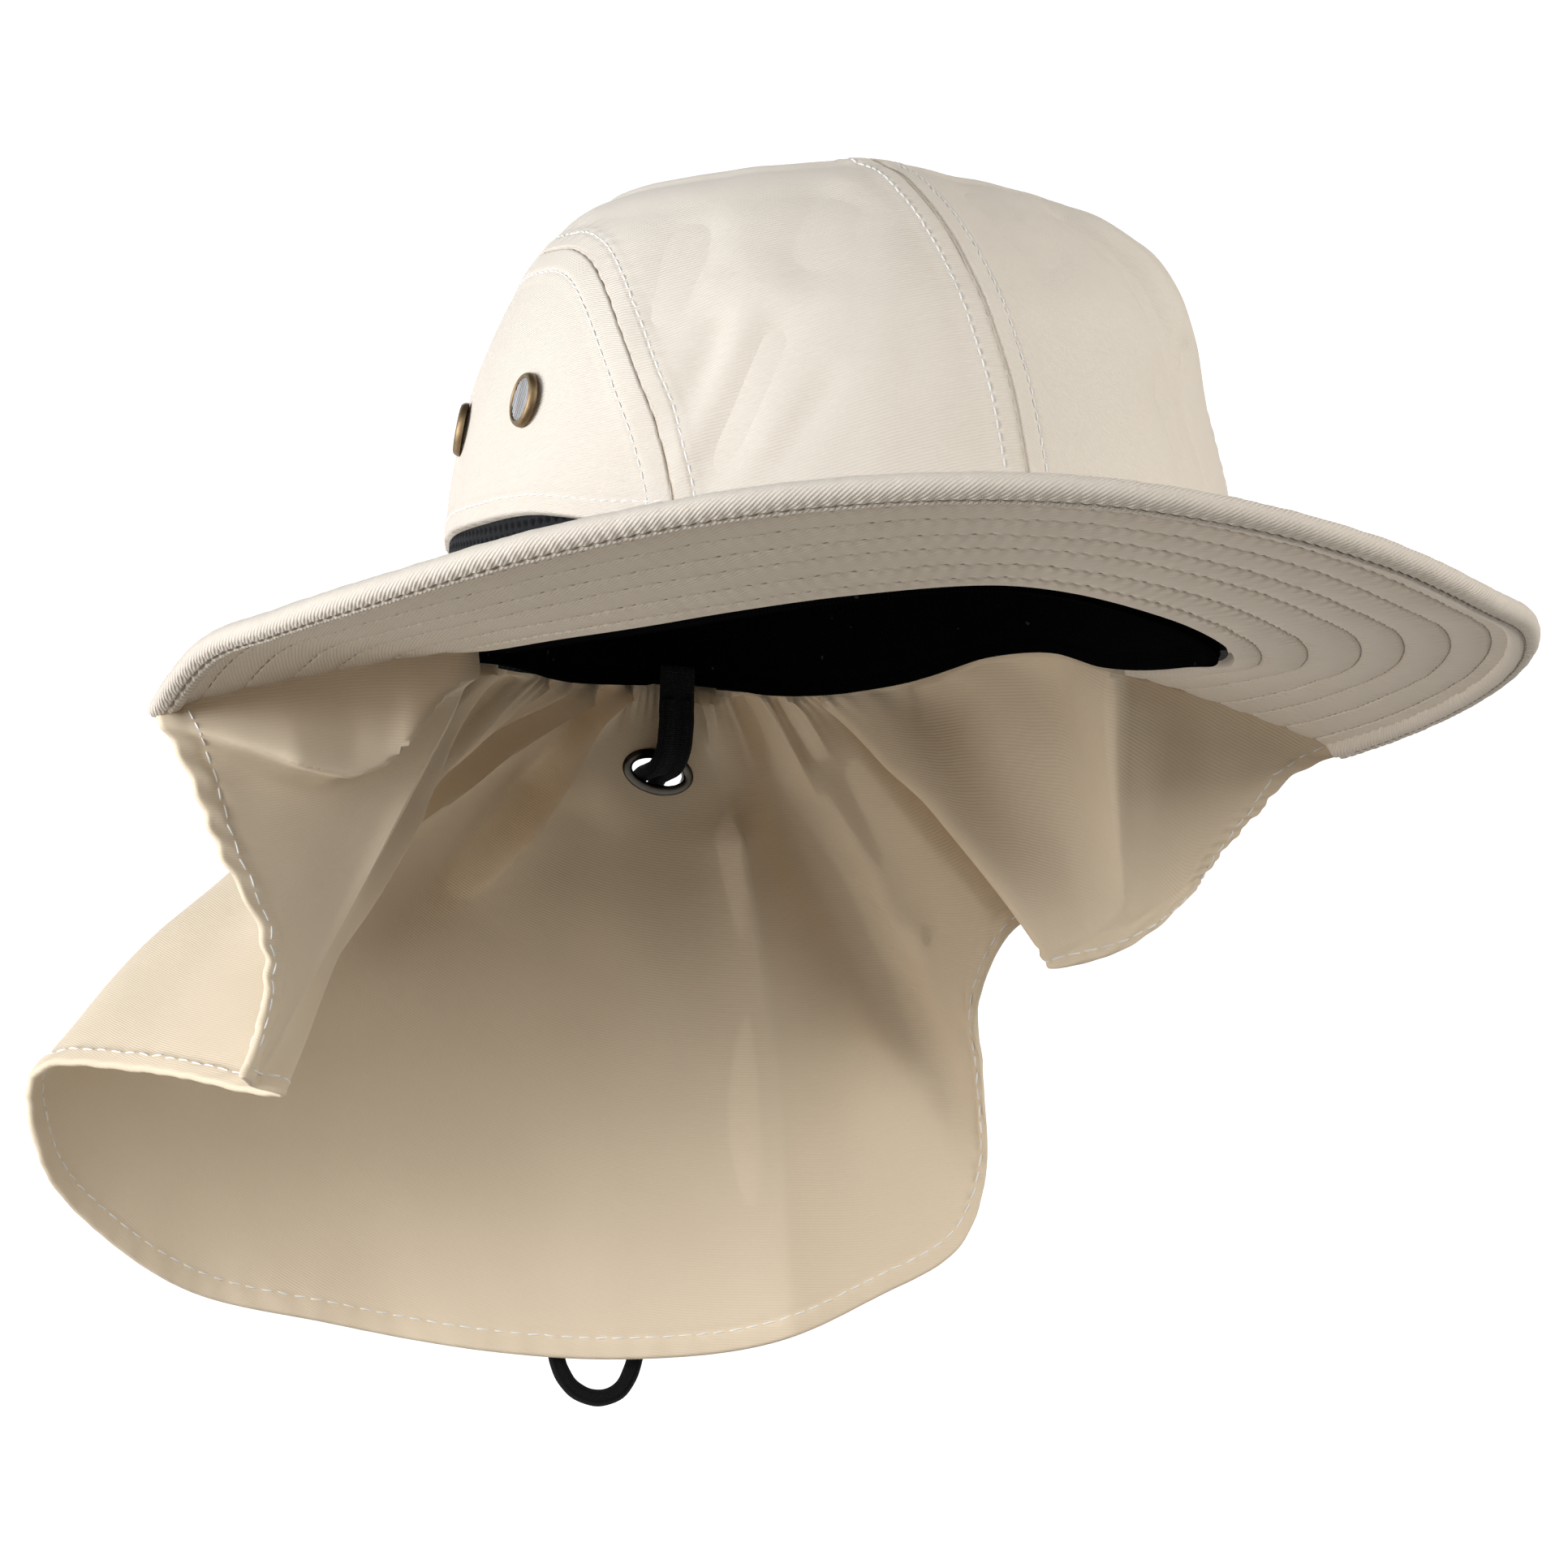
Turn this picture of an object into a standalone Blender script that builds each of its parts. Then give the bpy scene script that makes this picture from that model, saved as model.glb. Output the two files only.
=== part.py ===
"""Flap sun hat: a three-panel crown, a stiff brim over the front and sides, and a cloth flap
that hangs from an elastic mesh band round the back. Metres, +Z up, the front of the hat faces -Y,
and the origin is the middle of the head opening."""

import math

import bmesh
import bpy
import numpy as np
from mathutils import Matrix, Vector

# Driving sizes, in metres
HEAD_LENGTH = 0.213
HEAD_WIDTH = 0.176
CROWN_HEIGHT = 0.116
BASE_RISE = 0.013
BASE_FADE = 2
BRIM_WIDTH = 0.070
BRIM_LIFT = 0.010
BRIM_THICKNESS = 0.0028
RIM_THICKNESS = 0.0044
BRIM_END_ANGLE = 98.0
BRIM_CURL = 1.3
SEAM_SHIFT = 0.006
BAND_HEIGHT = 0.028
BAND_TUCK = 0.006
BAND_FRONT_ANGLE = 50.0
SEAM_POINTS = 18
SWEATBAND_HEIGHT = 0.030
SWEATBAND_HANG = 0.002
SWEATBAND_WAVES = 7
HEM_REACH = 0.200
FLAP_DROP = 0.156
GATHER_DEPTH = 0.003
GATHER_COUNT = 13
GATHER_FADE = 0.10
GATHER_EASE = 0.05
CROWN_CLOTH = 0.0012
BAND_CLOTH = 0.0012
SWEATBAND_CLOTH = 0.0015
FLAP_CLOTH = 0.0012
GAP = 0.0003
LAYER_GAP = 0.0005
SLOPE_STEP = 0.01

# Air vents in the back panel
VENT_RADIUS = 0.0064
VENT_SCREEN_RADIUS = 0.0049
VENT_RIM_HEIGHT = 0.0011
VENT_SCREEN_HEIGHT = 0.0005
VENT_SIDES = 16
VENT_PLACES = (("vent_right_front", -81.5, 0.70), ("vent_right_back", -106.5, 0.70),
               ("vent_left_front", 81.5, 0.70), ("vent_left_back", 106.5, 0.70))

# Grommet in the flap and the drawcord that passes through it
GROMMET_HOLE = (0.0074, 0.0032)
GROMMET_FLANGE = 0.0026
GROMMET_BARREL = 0.0005
GROMMET_FLANGE_THICKNESS = 0.0006
GROMMET_ALONG = 0.512
GROMMET_DOWN = 0.125
GROMMET_TILT = -8.0
GROMMET_SEAT = (0.021, 0.011)
GROMMET_CUT = 0.010
GROMMET_EASE = 0.8
OVAL_SIDES = 20
CORD_DIAMETER = 0.0042
CORD_POINTS = 62
LOCK_SIZE = (0.0180, 0.0095, 0.0160)
LOCK_SLOT = (0.0104, 0.0050)
LOCK_ROUNDING = 0.0020
LOCK_POINT = 9

# Height of the crown's lower edge: angle from the front (+ is the wearer's left), share of BASE_RISE
BASE_CURVE = (
    (-180, 1.00), (-150, 0.80), (-125, 0.50), (-110, 0.30), (-98, 0.05), (-90, -0.10),
    (-70, -0.28), (-58, -0.30), (-45, -0.21), (-30, -0.05), (-10, 0.14), (0, 0.12),
    (20, -0.05), (40, -0.11), (60, 0.00), (75, 0.30), (98, 0.75), (110, 1.25), (122, 1.35), (138, 1.00),
    (155, 0.92), (180, 1.00),
)

# Crown sections: height share, then side, front and back reach as shares of the base oval
CROWN_SECTIONS = (
    (0.000, 1.000, 1.000, 1.000),
    (0.150, 1.010, 0.990, 1.000),
    (0.300, 1.015, 0.960, 0.970),
    (0.400, 1.010, 0.930, 0.930),
    (0.520, 1.000, 0.880, 0.870),
    (0.620, 0.980, 0.830, 0.810),
    (0.740, 0.925, 0.740, 0.740),
    (0.850, 0.830, 0.625, 0.650),
    (0.940, 0.680, 0.470, 0.530),
    (0.985, 0.450, 0.290, 0.370),
    (1.000, 0.000, 0.000, 0.000),
)

# Side seam between a front panel and the back panel: angle, reach share on the crown's round plan
SIDE_SEAM = (
    (53.0, 1.000), (54.0, 0.870), (55.5, 0.790), (58.5, 0.705), (61.5, 0.635), (65.0, 0.575),
    (70.0, 0.520), (78.0, 0.480), (90.0, 0.462), (120.0, 0.450), (180.0, 0.440),
)

# Soft dents of the crown: angle, height share, width in degrees, height of the dent as a share,
# depth as a share of HEAD_WIDTH
CROWN_DENTS = (
    (-48.0, 0.52, 7.0, 0.30, 0.012),
    (-33.0, 0.60, 9.0, 0.26, 0.008),
    (62.0, 0.58, 9.0, 0.10, 0.026),
    (38.0, 0.86, 16.0, 0.16, 0.016),
)

# Height of the mesh band: angle away from the front, share of BAND_HEIGHT
BAND_TOP = ((50, 0.68), (65, 0.80), (80, 0.97), (95, 1.00), (180, 1.00))

# Outer edge of the brim: angle, height share of BRIM_LIFT, width share of BRIM_WIDTH
BRIM_EDGE = (
    (-98, -1.85, 1.11), (-90, -0.88, 1.04), (-80, -0.70, 1.00), (-65, -0.46, 1.00),
    (-50, 0.05, 1.00), (-30, 0.67, 1.00), (-12, 0.83, 1.00), (0, 0.63, 1.00), (15, 0.25, 1.00),
    (30, -0.08, 1.00), (45, 0.12, 1.00), (60, 0.12, 1.00), (80, -0.14, 1.00), (98, -0.40, 1.04),
)

# Cross section of the brim: share of the width, share of half the thickness, share of the rolled rim
BRIM_SECTION = (
    (0.00, 1.0, 0.0), (0.30, 1.0, 0.0), (0.60, 1.0, 0.0), (0.90, 1.0, 0.0),
    (0.935, 0.6, 0.4), (0.965, 0.0, 1.0), (0.988, 0.0, 0.72),
)

# Flap sections: place along the flap, place of the top on the seam, bearing, reach and drop of
# the hem as shares of HEM_REACH and FLAP_DROP, belly as a share of HEM_REACH
FLAP_SECTIONS = (
    (0.000, 0.00, -104.5, 0.690, 0.640, -0.07),
    (0.090, 0.17, -108.0, 0.680, 0.645, -0.01),
    (0.215, 0.40, -112.0, 0.674, 0.648, 0.03),
    (0.256, 0.42, -120.5, 0.810, 0.605, 0.07),
    (0.297, 0.44, -126.0, 0.965, 0.596, 0.10),
    (0.326, 0.452, -131.6, 0.988, 0.715, 0.09),
    (0.355, 0.463, -138.0, 0.974, 0.806, 0.07),
    (0.389, 0.474, -146.5, 0.918, 0.900, 0.05),
    (0.426, 0.485, -156.0, 0.813, 0.946, 0.05),
    (0.466, 0.495, -169.0, 0.700, 0.989, 0.04),
    (0.505, 0.510, -183.5, 0.627, 1.000, 0.03),
    (0.547, 0.530, -200.0, 0.615, 0.972, 0.03),
    (0.583, 0.550, -212.0, 0.652, 0.896, 0.03),
    (0.613, 0.565, -220.3, 0.709, 0.813, 0.04),
    (0.638, 0.580, -223.0, 0.729, 0.692, 0.04),
    (0.665, 0.590, -223.2, 0.703, 0.533, 0.03),
    (0.687, 0.600, -223.5, 0.667, 0.417, 0.03),
    (0.710, 0.610, -228.0, 0.642, 0.303, 0.02),
    (0.733, 0.620, -234.0, 0.690, 0.245, 0.02),
    (0.777, 0.630, -240.2, 0.508, 0.375, 0.00),
    (0.848, 0.750, -247.0, 0.522, 0.376, 0.00),
    (0.920, 0.870, -250.5, 0.573, 0.333, -0.02),
    (1.000, 1.00, -252.0, 0.640, 0.259, -0.035),
)

# Where the flap's top seam leaves the brim's right and left ends, as shares of its length, and how
# far out it runs under each end as a share of the brim's width, with the ease at the inner corner
SEAM_BRIM_RIGHT = 0.17
SEAM_BRIM_LEFT = 0.83
SEAM_BRIM_REACH = 0.985
SEAM_CORNER_EASE = 0.05

# Rows of the flap as shares of its drop, closer together beside the grommet
FLAP_ROWS = (0, 0.045, 0.085, 0.125, 0.165, 0.22, 0.30, 0.39, 0.49, 0.60, 0.72, 0.86, 1.0)

# Drawcord: one strand down, round the loop and back, as a route of hand-chosen points
DRAWCORD_ROUTE = (
    (0.0041, 0.0990, 0.0082), (0.0041, 0.0992, 0.0020), (0.0040, 0.1008, -0.0044),
    (0.0038, 0.1050, -0.0080), (0.0037, 0.1096, -0.0085), (0.0036, 0.1142, -0.0092),
    (0.0035, 0.1185, -0.0130), (0.0034, 0.1210, -0.0200), (0.0033, 0.1228, -0.0300),
    (0.0032, 0.1240, -0.0400), (0.0029, 0.1252, -0.0520), (-0.0005, 0.1270, -0.0700),
    (-0.0045, 0.1305, -0.1000), (-0.0078, 0.1336, -0.1300), (-0.0090, 0.1352, -0.1480),
    (-0.0082, 0.1356, -0.1570), (-0.0042, 0.1350, -0.1632), (0.0018, 0.1335, -0.1655),
    (0.0070, 0.1318, -0.1636), (0.0102, 0.1304, -0.1572), (0.0108, 0.1294, -0.1480),
    (0.0110, 0.1274, -0.1300), (0.0108, 0.1256, -0.1000), (0.0100, 0.1245, -0.0700),
    (0.0082, 0.1240, -0.0520), (0.0084, 0.1228, -0.0400), (0.0085, 0.1217, -0.0300),
    (0.0086, 0.1200, -0.0200), (0.0087, 0.1178, -0.0130), (0.0088, 0.1136, -0.0092),
    (0.0089, 0.1092, -0.0085), (0.0090, 0.1048, -0.0080), (0.0092, 0.1008, -0.0044),
    (0.0093, 0.0992, 0.0020), (0.0093, 0.0990, 0.0082),
)

# Colours as red, green and blue, then roughness and metallic
FINISHES = {
    "khaki_cloth": ((0.62, 0.57, 0.47), 0.85, 0.0),
    "khaki_brim": ((0.58, 0.52, 0.43), 0.85, 0.0),
    "black_mesh": ((0.012, 0.012, 0.013), 0.80, 0.0),
    "black_band": ((0.010, 0.010, 0.011), 0.75, 0.0),
    "bronze": ((0.20, 0.14, 0.08), 0.40, 1.0),
    "gunmetal": ((0.05, 0.045, 0.04), 0.25, 1.0),
    "black_cord": ((0.010, 0.010, 0.010), 0.80, 0.0),
    "black_plastic": ((0.015, 0.015, 0.016), 0.45, 0.0),
}


def material(name):
    """the named finish as a Principled material"""
    found = bpy.data.materials.get(name)
    if found:
        return found
    colour, roughness, metallic = FINISHES[name]
    made = bpy.data.materials.new(name)
    made.use_nodes = True
    shader = made.node_tree.nodes["Principled BSDF"]
    shader.inputs["Base Color"].default_value = (*colour, 1.0)
    shader.inputs["Roughness"].default_value = roughness
    shader.inputs["Metallic"].default_value = metallic
    return made


def smooth(table, x, column=1):
    """a smooth curve through one column of a table, whose first column rises"""
    xs = np.array([row[0] for row in table], float)
    ys = np.array([row[column] for row in table], float)
    steps = np.diff(ys) / np.diff(xs)
    slopes = np.concatenate([steps[:1], (steps[:-1] + steps[1:]) / 2, steps[-1:]])
    x = np.clip(np.asarray(x, float), xs[0], xs[-1])
    i = np.clip(np.searchsorted(xs, x) - 1, 0, len(xs) - 2)
    width = xs[i + 1] - xs[i]
    s = (x - xs[i]) / width
    rise = ys[i] * (2 * s**3 - 3 * s**2 + 1) + ys[i + 1] * (3 * s**2 - 2 * s**3)
    lean = slopes[i] * (s**3 - 2 * s**2 + s) + slopes[i + 1] * (s**3 - s**2)
    return rise + width * lean


def wrapped(angle):
    """an angle in degrees brought between -180 and 180"""
    return (np.asarray(angle, float) + 180.0) % 360.0 - 180.0


def base_height(angle):
    """height of the crown's lower edge"""
    return BASE_RISE * smooth(BASE_CURVE, wrapped(angle))


def oval(angle, out):
    """plan point at a distance outside the base oval"""
    turn = np.radians(angle)
    out = np.asarray(out, float)
    x = HEAD_WIDTH / 2 * np.sin(turn)
    y = -HEAD_LENGTH / 2 * np.cos(turn)
    across = np.sin(turn) / HEAD_WIDTH
    along = -np.cos(turn) / HEAD_LENGTH
    size = np.hypot(across, along)
    return x + out * across / size, y + out * along / size


def crown_at(angle, height, inset=0.0):
    """point on the crown at a height share, a distance inside its outer face"""
    turn = np.radians(angle)
    side = smooth(CROWN_SECTIONS, height, 1)
    end = np.where(np.cos(turn) > 0, smooth(CROWN_SECTIONS, height, 2), smooth(CROWN_SECTIONS, height, 3))
    dent = 0.0
    for where, level, wide, tall, depth in CROWN_DENTS:
        fall = (wrapped(angle - where) / wide)**2 + ((height - level) / tall)**2
        dent = dent + depth * HEAD_WIDTH * np.exp(-fall)
    x = (HEAD_WIDTH / 2 - inset - dent) * side * np.sin(turn)
    y = -(HEAD_LENGTH / 2 - inset - dent) * end * np.cos(turn)
    z = base_height(angle) * (1 - height)**BASE_FADE + (CROWN_HEIGHT - inset) * height
    return np.stack(np.broadcast_arrays(x, y, z), -1)


def crown_heights():
    """pairs of path share from edge to top, and height share"""
    rows = np.array([(row[0] * CROWN_HEIGHT, row[1] * HEAD_WIDTH / 2) for row in CROWN_SECTIONS])
    path = np.concatenate([[0], np.cumsum(np.hypot(*np.diff(rows, axis=0).T))])
    return tuple(zip(path / path[-1], [row[0] for row in CROWN_SECTIONS]))


CROWN_PATH = crown_heights()


def crown_plan(across, along, inset=0.0):
    """point on the crown from its round plan, where the edge is 1 from the middle"""
    reach = np.clip(np.hypot(across, along), 0, 1)
    angle = np.degrees(np.arctan2(across, -along))
    return crown_at(angle, smooth(CROWN_PATH, 1 - reach), inset)


def brim_at(angle, share):
    """middle of the brim's thickness at a share of its width"""
    inner = base_height(angle)
    dip = BRIM_LIFT * smooth(BRIM_EDGE, angle, 1) - inner
    width = BRIM_WIDTH * smooth(BRIM_EDGE, angle, 2)
    level = np.sqrt(width**2 - dip**2)
    x, y = oval(angle, GAP + share * level)
    return np.stack(np.broadcast_arrays(x, y, inner + dip * share**BRIM_CURL), -1)


def brim_half_thickness(share):
    """half the thickness of the brim at a share of its width"""
    flat = smooth(BRIM_SECTION, share, 1) * BRIM_THICKNESS / 2
    rolled = smooth(BRIM_SECTION, share, 2) * RIM_THICKNESS / 2
    return flat + rolled


def flap_seam(share):
    """top edge of the flap: under the brim's right end, round the band, under its left end"""
    share = np.asarray(share, float)
    middle = np.clip((share - SEAM_BRIM_RIGHT) / (SEAM_BRIM_LEFT - SEAM_BRIM_RIGHT), 0, 1)
    angle = -BRIM_END_ANGLE - middle * (360 - 2 * BRIM_END_ANGLE)
    x, y = oval(angle, -CROWN_CLOTH - LAYER_GAP - BAND_CLOTH / 2)
    band = np.stack(np.broadcast_arrays(x, y, base_height(angle) - GAP), -1)
    right = 1 - np.clip(share / SEAM_BRIM_RIGHT, 0, 1)
    left = np.clip((share - SEAM_BRIM_LEFT) / (1 - SEAM_BRIM_LEFT), 0, 1)
    along = np.maximum(right, left) * SEAM_BRIM_REACH
    edge = brim_at(np.where(share < 0.5, -BRIM_END_ANGLE, BRIM_END_ANGLE), along)
    edge[..., 2] -= brim_half_thickness(along) + GAP
    ease = np.clip(along / SEAM_CORNER_EASE, 0, 1)[..., None]
    return band * (1 - ease) + edge * ease


def flap_at(along, down):
    """point on the middle of the flap's cloth"""
    along = np.asarray(along, float)
    down = np.asarray(down, float)
    seam = smooth(FLAP_SECTIONS, along, 1)
    bearing = np.radians(smooth(FLAP_SECTIONS, along, 2))
    reach = HEM_REACH * smooth(FLAP_SECTIONS, along, 3)
    drop = FLAP_DROP * smooth(FLAP_SECTIONS, along, 4)
    belly = HEM_REACH * smooth(FLAP_SECTIONS, along, 5)
    top = flap_seam(seam)
    hem = np.stack([reach * np.sin(bearing), -reach * np.cos(bearing), -drop], -1)
    away = np.stack([np.sin(bearing), -np.cos(bearing), np.zeros_like(bearing)], -1)
    on_band = np.clip(np.minimum(seam - SEAM_BRIM_RIGHT, SEAM_BRIM_LEFT - seam) / GATHER_EASE, 0, 1)
    pleat = 0.5 + 0.5 * np.cos(2 * math.pi * GATHER_COUNT * seam)
    fade = down / GATHER_FADE * np.exp(1 - down / GATHER_FADE)
    push = belly * np.sin(math.pi * down) + GATHER_DEPTH * on_band * pleat * fade
    return top + (hem - top) * down[..., None] + away * push[..., None]


def cloth(name, outer, inner, finish, closed=False):
    """closed solid between two grids of points; rows or ends that meet in a point are joined"""
    rows, columns = outer.shape[:2]
    mesh = bmesh.new()
    faces = [[[mesh.verts.new(Vector(grid[i, j])) for j in range(columns)] for i in range(rows)]
             for grid in (outer, inner)]
    count = rows if closed else rows - 1
    for i in range(count):
        k = (i + 1) % rows
        for j in range(columns - 1):
            for grid, order in ((faces[0], 1), (faces[1], -1)):
                corners = (grid[i][j], grid[k][j], grid[k][j + 1], grid[i][j + 1])
                mesh.faces.new(corners[::order])
        for j, order in ((0, 1), (columns - 1, -1)):
            corners = (faces[0][i][j], faces[1][i][j], faces[1][k][j], faces[0][k][j])
            mesh.faces.new(corners[::order])
    if not closed:
        for i, order in ((0, -1), (rows - 1, 1)):
            for j in range(columns - 1):
                corners = (faces[0][i][j], faces[1][i][j], faces[1][i][j + 1], faces[0][i][j + 1])
                mesh.faces.new(corners[::order])
    bmesh.ops.remove_doubles(mesh, verts=mesh.verts, dist=0.00001)
    return finished(name, mesh, finish)


def finished(name, mesh, finish):
    """an object from a bmesh, with outward faces, smooth shading and its material"""
    bmesh.ops.recalc_face_normals(mesh, faces=mesh.faces)
    data = bpy.data.meshes.new(name)
    mesh.to_mesh(data)
    mesh.free()
    data.shade_smooth()
    data.set_sharp_from_angle(angle=math.radians(40))
    thing = bpy.data.objects.new(name, data)
    data.materials.append(material(finish))
    bpy.context.scene.collection.objects.link(thing)
    return thing


def grid_normals(points):
    """unit normals of a grid of points"""
    normals = np.cross(np.gradient(points, axis=0), np.gradient(points, axis=1))
    return normals / np.linalg.norm(normals, axis=-1, keepdims=True)


def band_top(angle):
    """height share of the mesh band's top, where the back panel starts"""
    return BAND_HEIGHT / CROWN_HEIGHT * smooth(BAND_TOP, np.abs(wrapped(angle)))


def plan_reach(height):
    """reach on the crown's round plan at a height share"""
    return 1 - np.interp(height, [pair[1] for pair in CROWN_PATH], [pair[0] for pair in CROWN_PATH])


def polar(angle, reach):
    """plan points from angles in degrees and reaches"""
    return np.stack([reach * np.sin(np.radians(angle)), -reach * np.cos(np.radians(angle))], -1)


def side_seam(count):
    """plan points of the left side seam, from the mesh band's top to the centre back"""
    angles = np.linspace(SIDE_SEAM[0][0], 180, 2000)
    reaches = smooth(SIDE_SEAM, angles)
    above = reaches < plan_reach(band_top(angles))
    points = polar(angles[above], reaches[above])
    path = np.concatenate([[0], np.cumsum(np.linalg.norm(np.diff(points, axis=0), axis=1))])
    wanted = np.linspace(0, path[-1], count)
    return np.stack([np.interp(wanted, path, points[:, k]) for k in range(2)], -1)


def front_panel(name, side):
    """one front panel, from the centre seam to the side seam, up over the top; side is -1 or 1"""
    across = 12
    shift = -SEAM_SHIFT / (HEAD_WIDTH / 2) * side
    gap = GAP / (HEAD_WIDTH / 2)
    seam = side_seam(SEAM_POINTS)
    foot = polar(SIDE_SEAM[0][0], 1.0)
    below = foot + (seam[0] - foot) * np.linspace(0, 1, 4)[:-1, None]
    seam = np.concatenate([below, seam])
    run = np.gradient(seam, axis=0)
    inward = np.stack([-run[:, 1], run[:, 0]], -1) / np.linalg.norm(run, axis=1, keepdims=True)
    inward[-1] = (0, -1)
    seam = seam + inward * gap
    seam[-1, 0] = shift + gap / 2
    seam[-1, 1] = math.sqrt((SIDE_SEAM[-1][1] - gap)**2 - seam[-1, 0]**2)
    down = len(seam)
    middle = np.stack([np.full(down, shift + gap / 2), np.linspace(-1, seam[-1, 1], down)], -1)
    share = np.linspace(0, 1, across)[:, None, None]
    plan = middle * (1 - share) + seam * share
    start = math.degrees(math.asin(shift + gap / 2))
    end = math.degrees(math.atan2(seam[0, 0], -seam[0, 1]))
    arc = polar(np.linspace(start, end, across), 1.0)
    plan = plan + (arc - plan[:, 0])[:, None] * (1 - np.linspace(0, 1, down)[None, :, None])**4
    outer = crown_plan(plan[..., 0] * side, plan[..., 1])
    inner = crown_plan(plan[..., 0] * side, plan[..., 1], CROWN_CLOTH)
    return cloth(name, outer, inner, "khaki_cloth")


def back_panel():
    """the back panel, from the mesh band up to the side seams, which meet over the centre back"""
    up = 6
    left = side_seam(SEAM_POINTS)
    seam = np.concatenate([left, (left * (-1, 1))[-2::-1]])
    angles = np.degrees(np.arctan2(seam[:, 0], -seam[:, 1])) % 360
    low_angles = np.linspace(angles[0], angles[-1], len(seam))
    low = polar(low_angles, plan_reach(band_top(low_angles)))
    low[0], low[-1] = seam[0], seam[-1]
    share = np.linspace(0, 1, up)[None, :, None]
    plan = low[:, None] * (1 - share) + seam[:, None] * share
    outer = crown_plan(plan[..., 0], plan[..., 1])
    inner = crown_plan(plan[..., 0], plan[..., 1], CROWN_CLOTH)
    return cloth("crown_back", outer, inner, "khaki_cloth")


def mesh_band():
    """the elastic mesh band round the back, tucked up inside the back panel"""
    along, up = 38, 4
    angles = np.linspace(BAND_FRONT_ANGLE, 360 - BAND_FRONT_ANGLE, along)
    tops = band_top(angles) + BAND_TUCK / CROWN_HEIGHT
    heights = tops[:, None] * np.linspace(0, 1, up)[None]
    inset = CROWN_CLOTH + LAYER_GAP
    outer = crown_at(angles[:, None], heights, inset)
    inner = crown_at(angles[:, None], heights, inset + BAND_CLOTH)
    return cloth("mesh_band", outer, inner, "black_mesh")


def sweatband():
    """the sweatband inside the head opening, all the way round"""
    around, up = 50, 4
    angles = np.arange(around) * 360 / around
    heights = SWEATBAND_HEIGHT / CROWN_HEIGHT * np.linspace(0, 1, up)
    inset = CROWN_CLOTH + LAYER_GAP + BAND_CLOTH + LAYER_GAP
    outer = crown_at(angles[:, None], heights[None], inset)
    inner = crown_at(angles[:, None], heights[None], inset + SWEATBAND_CLOTH)
    wave = 0.5 + 0.5 * np.cos(np.radians(angles * SWEATBAND_WAVES))
    at_back = np.abs(wrapped(angles)) > BAND_FRONT_ANGLE
    hang = SWEATBAND_HANG * (1 + wave * at_back)
    outer[:, 0, 2] -= hang
    inner[:, 0, 2] -= hang
    return cloth("sweatband", outer, inner, "black_band", closed=True)


def brim():
    """the stiff brim with its thicker rolled rim, open at the back"""
    along = 45
    angles = np.linspace(-BRIM_END_ANGLE, BRIM_END_ANGLE, along)
    shares = np.array([row[0] for row in BRIM_SECTION] + [1.0])
    half = np.append(brim_half_thickness(shares[:-1]), 0)
    middle = brim_at(angles[:, None], shares[None])
    up = np.array([0, 0, 1.0])
    return cloth("brim", middle + half[None, :, None] * up, middle - half[None, :, None] * up, "khaki_brim")


def flap():
    """the cloth flap, with an oval hole for the grommet"""
    along = 82
    grid = flap_at(np.linspace(0, 1, along)[:, None], np.array(FLAP_ROWS)[None])
    grid = seated(grid)
    normals = grid_normals(grid)
    top = grid[:, 0, 2].copy()
    outer = grid + normals * FLAP_CLOTH / 2
    inner = grid - normals * FLAP_CLOTH / 2
    outer[:, 0, 2] = top - GAP
    inner[:, 0, 2] = top - GAP
    piece = cloth("flap", outer, inner, "khaki_cloth")
    ends = ((None, GROMMET_CUT), (None, -GROMMET_CUT))
    cutter = oval_ring("grommet_hole_cutter", ends, GROMMET_BARREL + GAP)
    cutter.matrix_world = grommet_frame()
    cutter.hide_render = True
    cutter.display_type = "WIRE"
    hole = piece.modifiers.new("grommet_hole", "BOOLEAN")
    hole.operation = "DIFFERENCE"
    hole.solver = "EXACT"
    hole.object = cutter
    return piece


def grommet_frame():
    """place of the grommet: X along the flap, Y up it, Z out of its outer face"""
    here = Vector(flap_at(GROMMET_ALONG, GROMMET_DOWN))
    next_column = Vector(flap_at(GROMMET_ALONG + SLOPE_STEP, GROMMET_DOWN))
    last_column = Vector(flap_at(GROMMET_ALONG - SLOPE_STEP, GROMMET_DOWN))
    ahead = next_column - last_column
    above = here - Vector(flap_at(GROMMET_ALONG, GROMMET_DOWN + 4 * SLOPE_STEP))
    out = ahead.cross(above).normalized()
    side = ahead.normalized()
    up = out.cross(side)
    turned = Matrix((side, up, out)).transposed().to_4x4()
    return Matrix.Translation(here) @ turned @ Matrix.Rotation(math.radians(GROMMET_TILT), 4, "Z")


def seated(points):
    """points of the flap round the grommet brought onto its plane, where its flanges lie"""
    place = grommet_frame()
    side, up, out = (np.array(place.col[k][:3]) for k in range(3))
    from_middle = points - np.array(place.translation)
    reach = np.hypot(from_middle @ side / GROMMET_SEAT[0], from_middle @ up / GROMMET_SEAT[1])
    hold = np.clip(2 - reach, 0, 1)
    hold = hold**2 * (3 - 2 * hold)
    return points - out * (hold * (from_middle @ out))[..., None]


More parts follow.
